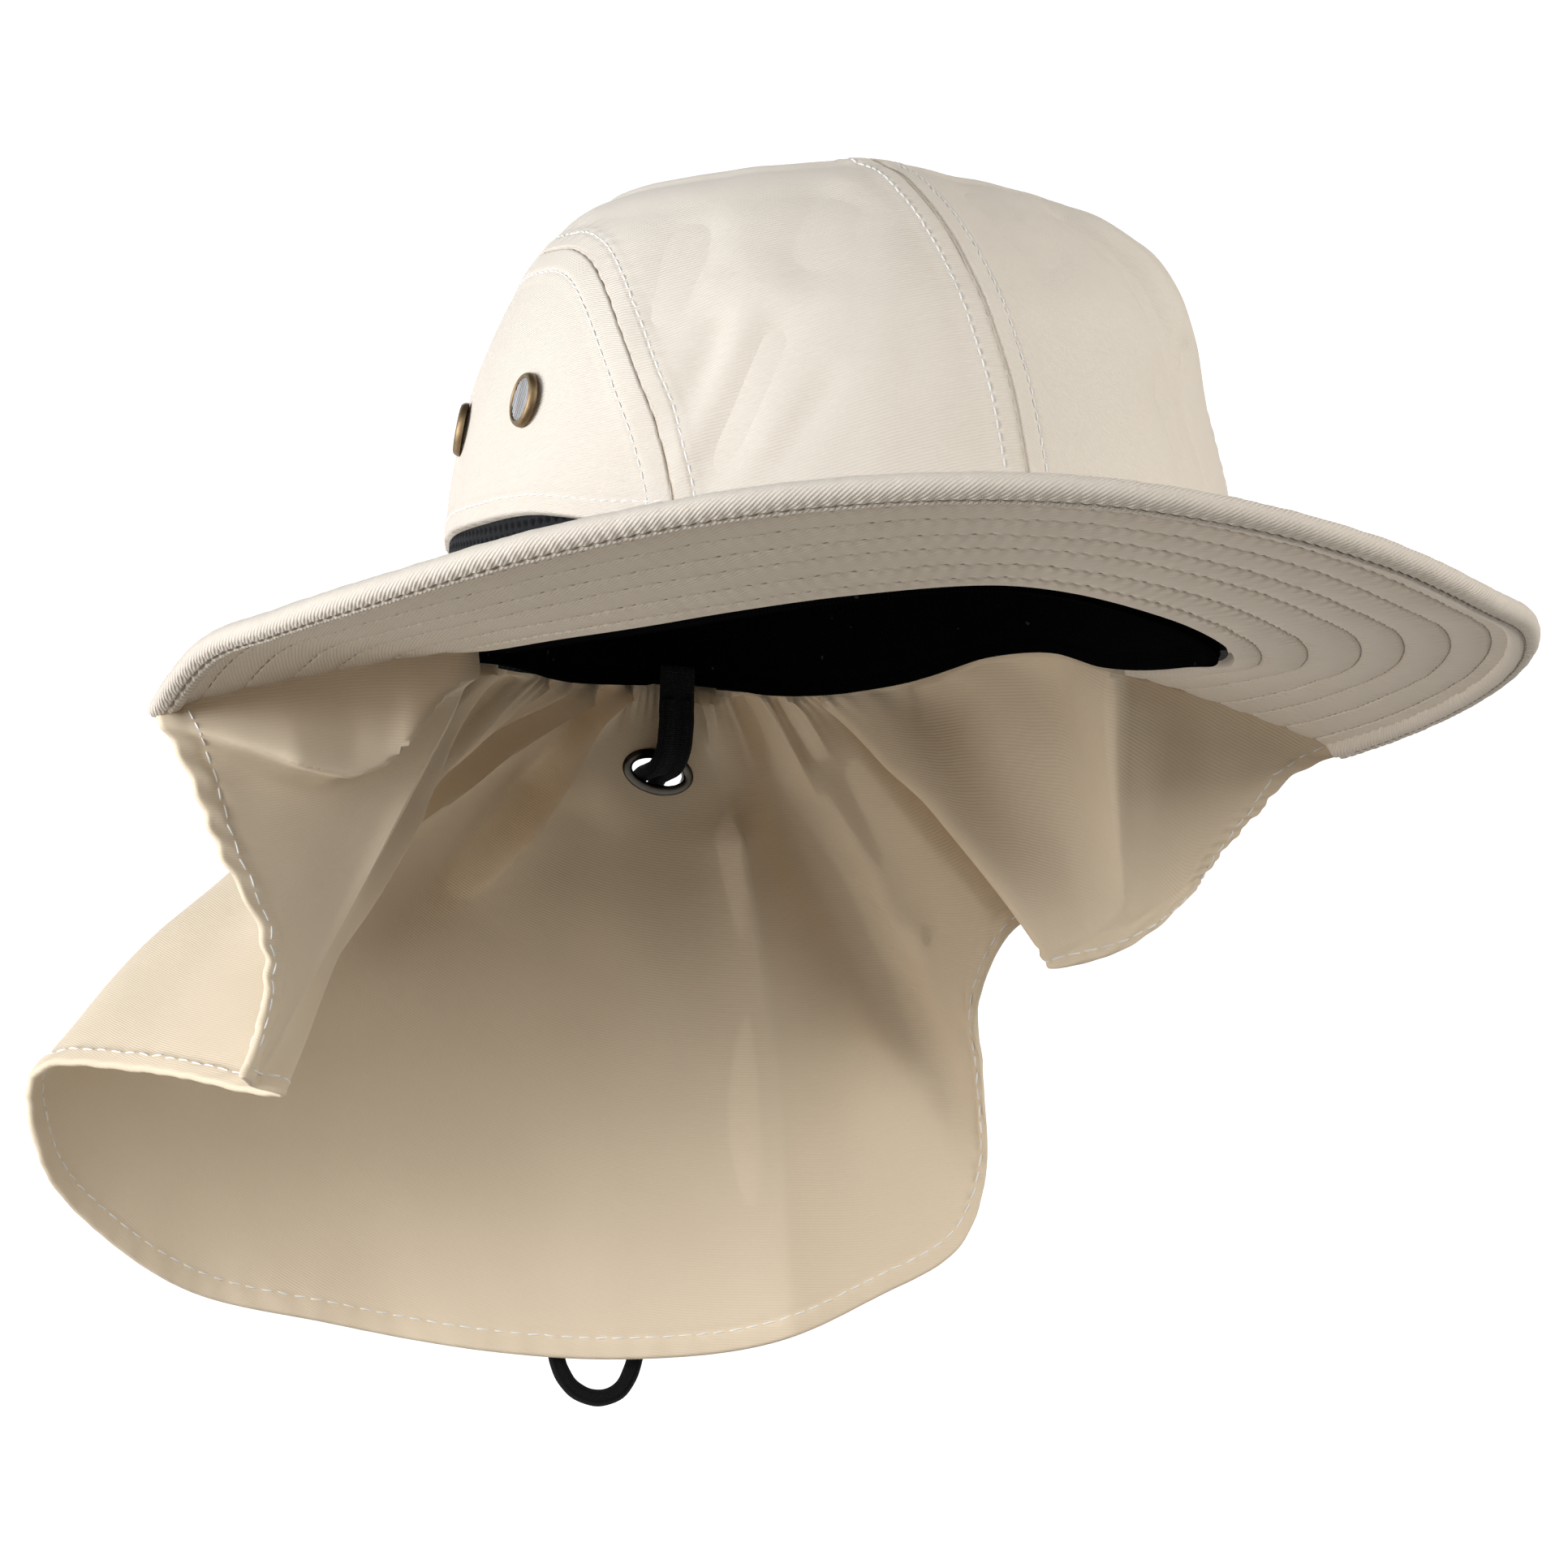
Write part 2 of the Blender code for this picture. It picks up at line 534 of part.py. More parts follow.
def oval_ring(name, section, margin=0.0, finish="gunmetal"):
    """ring round the grommet's oval from (width, height) pairs; with no width, a plain oval plug"""
    sides = OVAL_SIDES
    mesh = bmesh.new()
    loops = []
    for width, height in section:
        grow = margin if width is None else width
        ring = []
        for k in range(sides):
            turn = 2 * math.pi * k / sides
            x = (GROMMET_HOLE[0] + grow) * math.cos(turn)
            y = (GROMMET_HOLE[1] + grow) * math.sin(turn)
            ring.append(mesh.verts.new((x, y, height)))
        loops.append(ring)
    plug = section[0][0] is None
    pairs = len(loops) - 1 if plug else len(loops)
    for i in range(pairs):
        upper, lower = loops[i], loops[(i + 1) % len(loops)]
        for k in range(sides):
            n = (k + 1) % sides
            mesh.faces.new((upper[k], upper[n], lower[n], lower[k]))
    if plug:
        mesh.faces.new(loops[0])
        mesh.faces.new(loops[-1][::-1])
    return finished(name, mesh, finish)


def grommet():
    """oval grommet that grips the edge of the flap's hole between two flanges"""
    seat = FLAP_CLOTH / 2 + GAP
    face = seat + GROMMET_FLANGE_THICKNESS
    section = [(0.0, face * GROMMET_EASE), (GROMMET_BARREL, face), (GROMMET_FLANGE * GROMMET_EASE, face)]
    section += [(GROMMET_FLANGE, seat), (GROMMET_BARREL, seat)]
    section += [(width, -height) for width, height in section[::-1]]
    ring = oval_ring("grommet", section)
    ring.matrix_world = grommet_frame()
    return ring


def vent(name, angle, reach):
    """round air vent: a raised rim round a recessed screen, seated on the back panel"""
    across = reach * math.sin(math.radians(angle))
    along = -reach * math.cos(math.radians(angle))
    here = Vector(crown_plan(across, along))
    east = Vector(crown_plan(across, along + SLOPE_STEP)) - here
    north = Vector(crown_plan(across * (1 - SLOPE_STEP), along * (1 - SLOPE_STEP))) - here
    out = east.cross(north).normalized()
    if out.dot(Vector((here.x, here.y, 0))) < 0:
        out = -out
    profile = ((0.0, VENT_SCREEN_HEIGHT), (VENT_SCREEN_RADIUS, VENT_SCREEN_HEIGHT),
               (VENT_SCREEN_RADIUS + 0.0002, VENT_RIM_HEIGHT), (VENT_RADIUS - 0.0004, VENT_RIM_HEIGHT),
               (VENT_RADIUS, VENT_RIM_HEIGHT / 2), (VENT_RADIUS, 0.0), (0.0, 0.0))
    mesh = bmesh.new()
    rings = []
    for radius, height in profile:
        turns = [2 * math.pi * k / VENT_SIDES for k in range(VENT_SIDES)]
        rings.append([mesh.verts.new((radius * math.cos(t), radius * math.sin(t), height)) for t in turns])
    for low, high in zip(rings, rings[1:]):
        for k in range(VENT_SIDES):
            n = (k + 1) % VENT_SIDES
            mesh.faces.new((low[k], low[n], high[n], high[k]))
    bmesh.ops.remove_doubles(mesh, verts=mesh.verts, dist=0.00001)
    piece = finished(name, mesh, "bronze")
    facing = out.to_track_quat("Z", "Y").to_matrix().to_4x4()
    piece.matrix_world = Matrix.Translation(here + out * GAP) @ facing
    return piece


def smooth_route(points, count):
    """count points on a smooth curve through a route"""
    points = np.array(points)
    path = np.concatenate([[0], np.cumsum(np.linalg.norm(np.diff(points, axis=0), axis=1))])
    fine = np.linspace(0, path[-1], count * 8)
    line = np.stack([smooth(tuple(zip(path, points[:, k])), fine) for k in range(3)], -1)
    length = np.concatenate([[0], np.cumsum(np.linalg.norm(np.diff(line, axis=0), axis=1))])
    wanted = np.linspace(0, length[-1], count)
    return np.stack([np.interp(wanted, length, line[:, k]) for k in range(3)], -1)


def drawcord():
    """the drawcord: a round tube along its route"""
    data = bpy.data.curves.new("drawcord", "CURVE")
    data.dimensions = "3D"
    data.bevel_depth = CORD_DIAMETER / 2
    data.bevel_resolution = 2
    data.use_fill_caps = True
    points = smooth_route(DRAWCORD_ROUTE, CORD_POINTS)
    line = data.splines.new("POLY")
    line.points.add(len(points) - 1)
    for point, place in zip(line.points, points):
        point.co = (*place, 1.0)
    data.materials.append(material("black_cord"))
    cord = bpy.data.objects.new("drawcord", data)
    bpy.context.scene.collection.objects.link(cord)
    return cord


def cord_lock():
    """plain sliding lock on the two strands of the drawcord, behind the flap"""
    route = np.array(DRAWCORD_ROUTE)
    strands = route[LOCK_POINT], route[-1 - LOCK_POINT]
    ahead = route[LOCK_POINT + 1], route[-2 - LOCK_POINT]
    centre = Vector((strands[0] + strands[1]) / 2)
    down = (Vector((ahead[0] + ahead[1]) / 2) - centre).normalized()
    side = Vector(strands[1] - strands[0])
    side = (side - down * side.dot(down)).normalized()
    out = side.cross(down)
    place = Matrix((side, out, -down)).transposed().to_4x4()
    place.translation = centre
    mesh = bmesh.new()
    bmesh.ops.create_cube(mesh, size=1.0)
    bmesh.ops.scale(mesh, vec=LOCK_SIZE, verts=mesh.verts)
    bmesh.ops.bevel(mesh, geom=mesh.edges[:], offset=LOCK_ROUNDING, segments=2, affect="EDGES")
    piece = finished("cord_lock", mesh, "black_plastic")
    piece.matrix_world = place
    slot = bmesh.new()
    sides = OVAL_SIDES
    ends = []
    for height in (LOCK_SIZE[2], -LOCK_SIZE[2]):
        ring = []
        for k in range(sides):
            turn = 2 * math.pi * k / sides
            straight = (LOCK_SLOT[0] - LOCK_SLOT[1]) / 2 * math.copysign(1, math.cos(turn))
            x = straight + LOCK_SLOT[1] / 2 * math.cos(turn)
            ring.append(slot.verts.new((x, LOCK_SLOT[1] / 2 * math.sin(turn), height)))
        ends.append(ring)
    for k in range(sides):
        n = (k + 1) % sides
        slot.faces.new((ends[0][k], ends[0][n], ends[1][n], ends[1][k]))
    slot.faces.new(ends[0])
    slot.faces.new(ends[1][::-1])
    cutter = finished("cord_slot_cutter", slot, "black_plastic")
    cutter.matrix_world = place
    cutter.hide_render = True
    cutter.display_type = "WIRE"
    cut = piece.modifiers.new("cord_slot", "BOOLEAN")
    cut.operation = "DIFFERENCE"
    cut.solver = "EXACT"
    cut.object = cutter
    return piece


def main():
    for thing in list(bpy.data.objects):
        bpy.data.objects.remove(thing)
    front_panel("crown_front_right", -1)
    front_panel("crown_front_left", 1)
    back_panel()
    mesh_band()
    sweatband()
    brim()
    flap()
    grommet()
    for name, angle, reach in VENT_PLACES:
        vent(name, angle, reach)
    drawcord()
    cord_lock()


main()
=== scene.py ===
"""Flap sun hat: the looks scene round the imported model. Metres, +Z up, the front faces -Y."""
import math

import bmesh
import bpy
import numpy as np
from mathutils import Matrix, Vector


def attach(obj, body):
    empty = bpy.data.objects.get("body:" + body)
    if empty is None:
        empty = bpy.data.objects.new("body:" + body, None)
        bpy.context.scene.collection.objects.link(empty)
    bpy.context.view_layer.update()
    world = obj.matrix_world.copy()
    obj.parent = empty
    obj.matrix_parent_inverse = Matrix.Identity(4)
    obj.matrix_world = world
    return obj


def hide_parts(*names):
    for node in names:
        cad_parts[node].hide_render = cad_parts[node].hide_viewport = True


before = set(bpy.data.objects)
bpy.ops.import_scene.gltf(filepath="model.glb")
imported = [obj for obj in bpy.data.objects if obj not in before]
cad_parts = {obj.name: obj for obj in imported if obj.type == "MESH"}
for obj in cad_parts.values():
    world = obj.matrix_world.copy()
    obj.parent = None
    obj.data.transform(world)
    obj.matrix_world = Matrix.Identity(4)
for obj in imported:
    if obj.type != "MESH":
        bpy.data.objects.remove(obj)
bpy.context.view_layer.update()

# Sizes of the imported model, in metres
HEAD_LENGTH = 0.213
HEAD_WIDTH = 0.176
CROWN_HEIGHT = 0.116
BASE_RISE = 0.013
BASE_FADE = 2
BRIM_WIDTH = 0.070
BRIM_LIFT = 0.010
BRIM_END_ANGLE = 98.0
BRIM_CURL = 1.3
SEAM_SHIFT = 0.006
BAND_HEIGHT = 0.028
BAND_TUCK = 0.006
BAND_FRONT_ANGLE = 50.0
MESH_PITCH = (0.0029, 0.0024)
SWEATBAND_HEIGHT = 0.030
SWEATBAND_REACH = 0.095
HEM_REACH = 0.200
FLAP_DROP = 0.156
GATHER_DEPTH = 0.003
GATHER_COUNT = 13
GATHER_FADE = 0.10
GATHER_EASE = 0.05
CROWN_CLOTH = 0.0012
BAND_CLOTH = 0.0012
SWEATBAND_CLOTH = 0.0015
FLAP_CLOTH = 0.0012
GAP = 0.0003
LAYER_GAP = 0.0005
SLOPE_STEP = 0.01
VENT_PITCH = 0.00093
VENT_TURN = 9.0
VENT_PLACES = (("vent_right_front", -81.5, 0.70), ("vent_right_back", -106.5, 0.70),
               ("vent_left_front", 81.5, 0.70), ("vent_left_back", 106.5, 0.70))
GROMMET_HOLE = (0.0074, 0.0032)
GROMMET_FLANGE = 0.0026
GROMMET_ALONG = 0.512
GROMMET_DOWN = 0.125
GROMMET_TILT = -8.0
GROMMET_SEAT = (0.021, 0.011)
CORD_DIAMETER = 0.0042

# Height of the crown's lower edge: angle from the front (+ is the wearer's left), share of BASE_RISE
BASE_CURVE = (
    (-180, 1.00), (-150, 0.80), (-125, 0.50), (-110, 0.30), (-98, 0.05), (-90, -0.10),
    (-70, -0.28), (-58, -0.30), (-45, -0.21), (-30, -0.05), (-10, 0.14), (0, 0.12),
    (20, -0.05), (40, -0.11), (60, 0.00), (75, 0.30), (98, 0.75), (110, 1.25), (122, 1.35), (138, 1.00),
    (155, 0.92), (180, 1.00),
)

# Crown sections: height share, then side, front and back reach as shares of the base oval
CROWN_SECTIONS = (
    (0.000, 1.000, 1.000, 1.000),
    (0.150, 1.010, 0.990, 1.000),
    (0.300, 1.015, 0.960, 0.970),
    (0.400, 1.010, 0.930, 0.930),
    (0.520, 1.000, 0.880, 0.870),
    (0.620, 0.980, 0.830, 0.810),
    (0.740, 0.925, 0.740, 0.740),
    (0.850, 0.830, 0.625, 0.650),
    (0.940, 0.680, 0.470, 0.530),
    (0.985, 0.450, 0.290, 0.370),
    (1.000, 0.000, 0.000, 0.000),
)

# Side seam between a front panel and the back panel: angle, reach share on the crown's round plan
SIDE_SEAM = (
    (53.0, 1.000), (54.0, 0.870), (55.5, 0.790), (58.5, 0.705), (61.5, 0.635), (65.0, 0.575),
    (70.0, 0.520), (78.0, 0.480), (90.0, 0.462), (120.0, 0.450), (180.0, 0.440),
)

# Soft dents of the crown: angle, height share, width in degrees, height of the dent as a share,
# depth as a share of HEAD_WIDTH
CROWN_DENTS = (
    (-48.0, 0.52, 7.0, 0.30, 0.012),
    (-33.0, 0.60, 9.0, 0.26, 0.008),
    (62.0, 0.58, 9.0, 0.10, 0.026),
    (38.0, 0.86, 16.0, 0.16, 0.016),
)

# How the soft crown slumps: place across it, from the right back to the left front, and height, in
# millimetres
LEAN_WAY = (0.891, -0.454)
SLUMP_PUSH = 0.0030
CROWN_LEAN = (
    (-90, -1.5), (-60, -3.0), (-40, -4.0), (-13, -2.8), (6, -1.5), (34, -2.2), (50, -0.5), (62, 1.5),
    (75, 3.2), (90, 2.6),
)

# Topstitching beside the crown's seams and the back panel's hem
CENTRE_STITCH = 0.0050
FRONT_STITCH = 0.0052
BACK_STITCH = 0.0064
BAND_STITCH = 0.0042

# Height of the mesh band: angle away from the front, share of BAND_HEIGHT
BAND_TOP = ((50, 0.68), (65, 0.80), (80, 0.97), (95, 1.00), (180, 1.00))

# Outer edge of the brim: angle, height share of BRIM_LIFT, width share of BRIM_WIDTH
BRIM_EDGE = (
    (-98, -1.85, 1.11), (-90, -0.88, 1.04), (-80, -0.70, 1.00), (-65, -0.46, 1.00),
    (-50, 0.05, 1.00), (-30, 0.67, 1.00), (-12, 0.83, 1.00), (0, 0.63, 1.00), (15, 0.25, 1.00),
    (30, -0.08, 1.00), (45, 0.12, 1.00), (60, 0.12, 1.00), (80, -0.14, 1.00), (98, -0.40, 1.04),
)

# Flap sections: place along the flap, place of the top on the seam, bearing, reach and drop of
# the hem as shares of HEM_REACH and FLAP_DROP, belly as a share of HEM_REACH
FLAP_SECTIONS = (
    (0.000, 0.00, -104.5, 0.690, 0.640, -0.07),
    (0.090, 0.17, -108.0, 0.680, 0.645, -0.01),
    (0.215, 0.40, -112.0, 0.674, 0.648, 0.03),
    (0.256, 0.42, -120.5, 0.810, 0.605, 0.07),
    (0.297, 0.44, -126.0, 0.965, 0.596, 0.10),
    (0.326, 0.452, -131.6, 0.988, 0.715, 0.09),
    (0.355, 0.463, -138.0, 0.974, 0.806, 0.07),
    (0.389, 0.474, -146.5, 0.918, 0.900, 0.05),
    (0.426, 0.485, -156.0, 0.813, 0.946, 0.05),
    (0.466, 0.495, -169.0, 0.700, 0.989, 0.04),
    (0.505, 0.510, -183.5, 0.627, 1.000, 0.03),
    (0.547, 0.530, -200.0, 0.615, 0.972, 0.03),
    (0.583, 0.550, -212.0, 0.652, 0.896, 0.03),
    (0.613, 0.565, -220.3, 0.709, 0.813, 0.04),
    (0.638, 0.580, -223.0, 0.729, 0.692, 0.04),
    (0.665, 0.590, -223.2, 0.703, 0.533, 0.03),
    (0.687, 0.600, -223.5, 0.667, 0.417, 0.03),
    (0.710, 0.610, -228.0, 0.642, 0.303, 0.02),
    (0.733, 0.620, -234.0, 0.690, 0.245, 0.02),
    (0.777, 0.630, -240.2, 0.508, 0.375, 0.00),
    (0.848, 0.750, -247.0, 0.522, 0.376, 0.00),
    (0.920, 0.870, -250.5, 0.573, 0.333, -0.02),
    (1.000, 1.00, -252.0, 0.640, 0.259, -0.035),
)
SEAM_BRIM_RIGHT = 0.17
SEAM_BRIM_LEFT = 0.83
SEAM_BRIM_REACH = 0.985
SEAM_CORNER_EASE = 0.05

# Route of the drawcord: down one strand, round the loop and back
DRAWCORD_ROUTE = (
    (0.0041, 0.0990, 0.0082), (0.0041, 0.0992, 0.0020), (0.0040, 0.1008, -0.0044),
    (0.0038, 0.1050, -0.0080), (0.0037, 0.1096, -0.0085), (0.0036, 0.1142, -0.0092),
    (0.0035, 0.1185, -0.0130), (0.0034, 0.1210, -0.0200), (0.0033, 0.1228, -0.0300),
    (0.0032, 0.1240, -0.0400), (0.0029, 0.1252, -0.0520), (-0.0005, 0.1270, -0.0700),
    (-0.0045, 0.1305, -0.1000), (-0.0078, 0.1336, -0.1300), (-0.0090, 0.1352, -0.1480),
    (-0.0082, 0.1356, -0.1570), (-0.0042, 0.1350, -0.1632), (0.0018, 0.1335, -0.1655),
    (0.0070, 0.1318, -0.1636), (0.0102, 0.1304, -0.1572), (0.0108, 0.1294, -0.1480),
    (0.0110, 0.1274, -0.1300), (0.0108, 0.1256, -0.1000), (0.0100, 0.1245, -0.0700),
    (0.0082, 0.1240, -0.0520), (0.0084, 0.1228, -0.0400), (0.0085, 0.1217, -0.0300),
    (0.0086, 0.1200, -0.0200), (0.0087, 0.1178, -0.0130), (0.0088, 0.1136, -0.0092),
    (0.0089, 0.1092, -0.0085), (0.0090, 0.1048, -0.0080), (0.0092, 0.1008, -0.0044),
    (0.0093, 0.0992, 0.0020), (0.0093, 0.0990, 0.0082),
)

# Flat braid over the two strands: route as places back and up, half its width and thickness
TAPE_ROUTE = (
    (0.0985, 0.0170), (0.0987, 0.0125), (0.0990, 0.0082), (0.0992, 0.0020), (0.1008, -0.0044),
    (0.1050, -0.0080), (0.1096, -0.0085),
)
TAPE_HALF = (0.0047, 0.0012)
TAPE_SIDE = 0.0067
TAPE_ROWS = 60

# Lower edge of the sweatband: angle, height above the crown's lower edge in millimetres
SWEATBAND_EDGE = (
    (-180, -0.8), (-166, -1.3), (-143, 0.6), (-125, -1.0), (-98, -1.5), (-60, -2.0), (0, -2.0),
    (60, -1.5), (90, -0.8), (98, -0.6), (105, -0.4), (113, -0.2), (120, -0.2), (130, -0.6), (140, -0.8),
    (150, -1.2), (160, -1.0), (163, -0.4), (172, 0.5), (177, 0.4), (180, -0.8),
)

# Stitched rows on the brim, as shares of its width, and the edge stitch under the rolled rim
BRIM_ROWS = (0.088, 0.240, 0.415, 0.556, 0.706, 0.838)
BRIM_EDGE_ROW = 0.905
BRIM_HALF = 0.00100
BRIM_PUFF = 0.00085
BRIM_EDGE_HALF = 0.00050
BRIM_STOP = 0.965
RIM_ROLL = 0.0032
RIM_REACH = 0.0040
RIM_DROP = 0.0005
RIM_STITCH = 0.0033
RIM_NOTCH = 4.60

# Folds of the flap: start and end as places along and down it, width and height in millimetres
# (+ is away from the head), and how sharp the ridge is from 0, round, to 1, a crease
FLAP_FOLDS = (
    (0.437, 0.00, 0.412, 0.38, 9.0, -7.5, 0.45),
    (0.403, 0.02, 0.376, 0.50, 10.0, 6.5, 0.15),
    (0.462, 0.00, 0.455, 0.22, 6.0, 2.2, 0.3),
    (0.560, 0.00, 0.580, 0.17, 4.5, -3.4, 0.8),
    (0.578, 0.06, 0.545, 1.25, 10.0, -5.5, 0.5),
    (0.614, 0.10, 0.632, 0.98, 15.0, 7.5, 0.1),
    (0.600, 0.00, 0.606, 0.18, 5.0, -2.4, 0.5),
    (0.622, 0.00, 0.626, 0.16, 5.0, 2.0, 0.4),
    (0.642, 0.00, 0.648, 0.26, 6.0, -2.4, 0.4),
    (0.668, 0.00, 0.668, 0.20, 6.0, 1.8, 0.3),
    (0.692, 0.00, 0.690, 0.26, 7.0, -2.0, 0.3),
    (0.350, 0.00, 0.340, 0.40, 8.0, -6.5, 0.5),
    (0.322, 0.00, 0.315, 0.26, 5.0, 2.6, 0.3),
    (0.300, 0.00, 0.288, 0.32, 6.0, -3.2, 0.4),
    (0.275, 0.00, 0.262, 0.32, 6.0, 2.4, 0.3),
    (0.250, 0.00, 0.232, 0.36, 6.0, -2.6, 0.4),
    (0.205, 0.00, 0.180, 0.40, 6.0, 2.2, 0.3),
    (0.175, 0.00, 0.140, 0.36, 7.0, -3.0, 0.5),
    (0.150, 0.00, 0.112, 0.30, 6.0, 2.6, 0.3),
    (0.180, 0.26, 0.238, 0.95, 8.0, -3.0, 0.35),
    (0.100, 0.15, 0.150, 0.75, 12.0, -2.0, 0.1),
    (0.605, 0.60, 0.645, 0.84, 5.0, -1.4, 0.5),
    (0.655, 0.52, 0.690, 0.78, 6.0, -1.4, 0.4),
    (0.470, 0.40, 0.440, 0.80, 16.0, 2.0, 0.1),
    (0.360, 0.70, 0.400, 1.10, 14.0, -1.8, 0.1),
    (0.760, 0.02, 0.765, 0.45, 9.0, -2.0, 0.2),
    (0.820, 0.10, 0.850, 0.90, 16.0, 1.8, 0.0),
    (0.905, 0.10, 0.930, 0.80, 14.0, -1.6, 0.0),
)

# Soft folds of the crown's front panels, in the same columns, with angles and height shares
CROWN_FOLDS = (
    (-51, 0.80, -56, 0.46, 9.0, -1.8, 0.0),
    (-47, 0.66, -54, 0.50, 4.5, 0.7, 0.0),
    (-38, 0.52, -52, 0.16, 5.5, -1.8, 0.1),
    (-43, 0.52, -56, 0.18, 4.5, 0.9, 0.1),
    (-46, 0.56, -53, 0.34, 4.0, -0.9, 0.1),
    (-31, 0.40, -44, 0.16, 4.0, -1.0, 0.1),
    (-25, 0.84, -34, 0.60, 14.0, -1.4, 0.0),
    (30, 0.84, 43, 0.50, 8.0, 2.2, 0.2),
    (24, 0.82, 36, 0.45, 5.0, -2.8, 0.4),
    (38, 0.57, 36, 0.46, 2.5, -2.0, 0.7),
    (33, 0.50, 39, 0.20, 4.0, -1.5, 0.3),
    (27, 0.46, 31, 0.22, 4.0, -1.4, 0.2),
    (5, 0.90, 13, 0.62, 12.0, -1.6, 0.1),
)
FLAP_SCALE = (0.52, 0.16)
CROWN_SCALE = (0.00157, 0.125)

# Lower fold of the cloth that sags below the brim's right end: place along the flap, place down it
SWAG_FOLD = ((0.000, 0.02), (0.018, 0.098), (0.038, 0.170), (0.055, 0.215), (0.068, 0.200), (0.080, 0.120),
             (0.090, 0.04), (0.105, 0.02), (1.0, 0.02))
SWAG_DEPTH = 0.0105
BARTACKS = ((-97.0, 0.955, 0.5), (97.0, 0.60, 0.4), (97.0, 0.80, 0.4), (97.0, 0.96, 0.4))
HEM_STITCH = 0.0052
HEM_STEPS = (0, 0.0002, 0.0005, 0.0009, 0.0015, 0.0025, 0.0036, 0.0044, 0.0049, 0.0055, 0.0062, 0.0075)

# Camera, in the photo's own terms
CAMERA_AZIMUTH = -27.0
CAMERA_ELEVATION = -9.0
CAMERA_DISTANCE = 1.25
CAMERA_TARGET = (-0.0178, -0.0087, -0.030)
CAMERA_LENS = 36 * 6650 / 1932
FLOOR_HEIGHT = -0.62
FLOOR_REACH = 2.0
FLOOR_CURVE = 1.2
BACKDROP_HEIGHT = 4.5
FILL_STRENGTH = 0.045
AIM = (0, 0, -0.03)

# Soft lights: bearing from the hat's front, lift, distance, size, watts and colour
LIGHTS = (
    ("front", 15.0, 18.0, 1.9, 0.8, 10.0, (0.95, 1.00, 1.07)),
    ("front_left", 38.0, 20.0, 1.9, 0.8, 17.0, (0.99, 0.99, 1.00)),
    ("front_side", 58.0, 13.0, 1.9, 0.8, 5.0, (1.00, 0.98, 0.88)),
    ("left", -85.0, 1.0, 1.9, 0.8, 20.0, (0.94, 1.00, 1.10)),
    ("left_back", -105.0, 5.0, 1.9, 0.8, 19.0, (0.94, 1.00, 1.10)),
    ("left_front", -60.0, 16.0, 1.9, 0.8, 8.5, (0.95, 1.00, 1.07)),
    ("back", 160.0, 22.0, 1.9, 0.8, 12.0, (0.96, 1.00, 1.06)),
    ("floor", 0.0, -88.0, 0.6, 1.2, 2.0, (1.00, 0.96, 0.90)),
    ("low_left", -80.0, -30.0, 1.5, 0.9, 8.0, (1.00, 0.98, 0.96)),
)


# Curves and surfaces of the hat

def smooth(table, x, column=1):
    """a smooth curve through one column of a table, whose first column rises"""
    xs = np.array([row[0] for row in table], float)
    ys = np.array([row[column] for row in table], float)
    steps = np.diff(ys) / np.diff(xs)
    slopes = np.concatenate([steps[:1], (steps[:-1] + steps[1:]) / 2, steps[-1:]])
    x = np.clip(np.asarray(x, float), xs[0], xs[-1])
    i = np.clip(np.searchsorted(xs, x) - 1, 0, len(xs) - 2)
    width = xs[i + 1] - xs[i]
    s = (x - xs[i]) / width
    rise = ys[i] * (2 * s**3 - 3 * s**2 + 1) + ys[i + 1] * (3 * s**2 - 2 * s**3)
    lean = slopes[i] * (s**3 - 2 * s**2 + s) + slopes[i + 1] * (s**3 - s**2)
    return rise + width * lean


def step(low, high, x):
    """0 below low, 1 above high, smooth between"""
    s = np.clip((np.asarray(x, float) - low) / (high - low), 0, 1)
    return s * s * (3 - 2 * s)


def bump_at(x, middle, width):
    """a round bump, 1 in the middle"""
    return np.exp(-((np.asarray(x, float) - middle) / width)**2)


def ripple(points, wavelength, seed, waves=8):
    """smooth repeatable unevenness, between about -1 and 1"""
    rng = np.random.default_rng(seed)
    total = np.zeros(points.shape[:-1])
    for _ in range(waves):
        way = rng.normal(size=points.shape[-1])
        way = way / np.linalg.norm(way)
        scale = wavelength * rng.uniform(0.7, 1.6)
        total = total + np.sin(points @ way * 2 * math.pi / scale + rng.uniform(0, 2 * math.pi))
    return total * 1.7 / waves


def wrapped(angle):
    """an angle in degrees brought between -180 and 180"""
    return (np.asarray(angle, float) + 180.0) % 360.0 - 180.0


def base_height(angle):
    """height of the crown's lower edge"""
    return BASE_RISE * smooth(BASE_CURVE, wrapped(angle))


def oval(angle, out):
    """plan point at a distance outside the base oval"""
    turn = np.radians(angle)
    out = np.asarray(out, float)
    x = HEAD_WIDTH / 2 * np.sin(turn)
    y = -HEAD_LENGTH / 2 * np.cos(turn)
    across = np.sin(turn) / HEAD_WIDTH
    along = -np.cos(turn) / HEAD_LENGTH
    size = np.hypot(across, along)
    return x + out * across / size, y + out * along / size


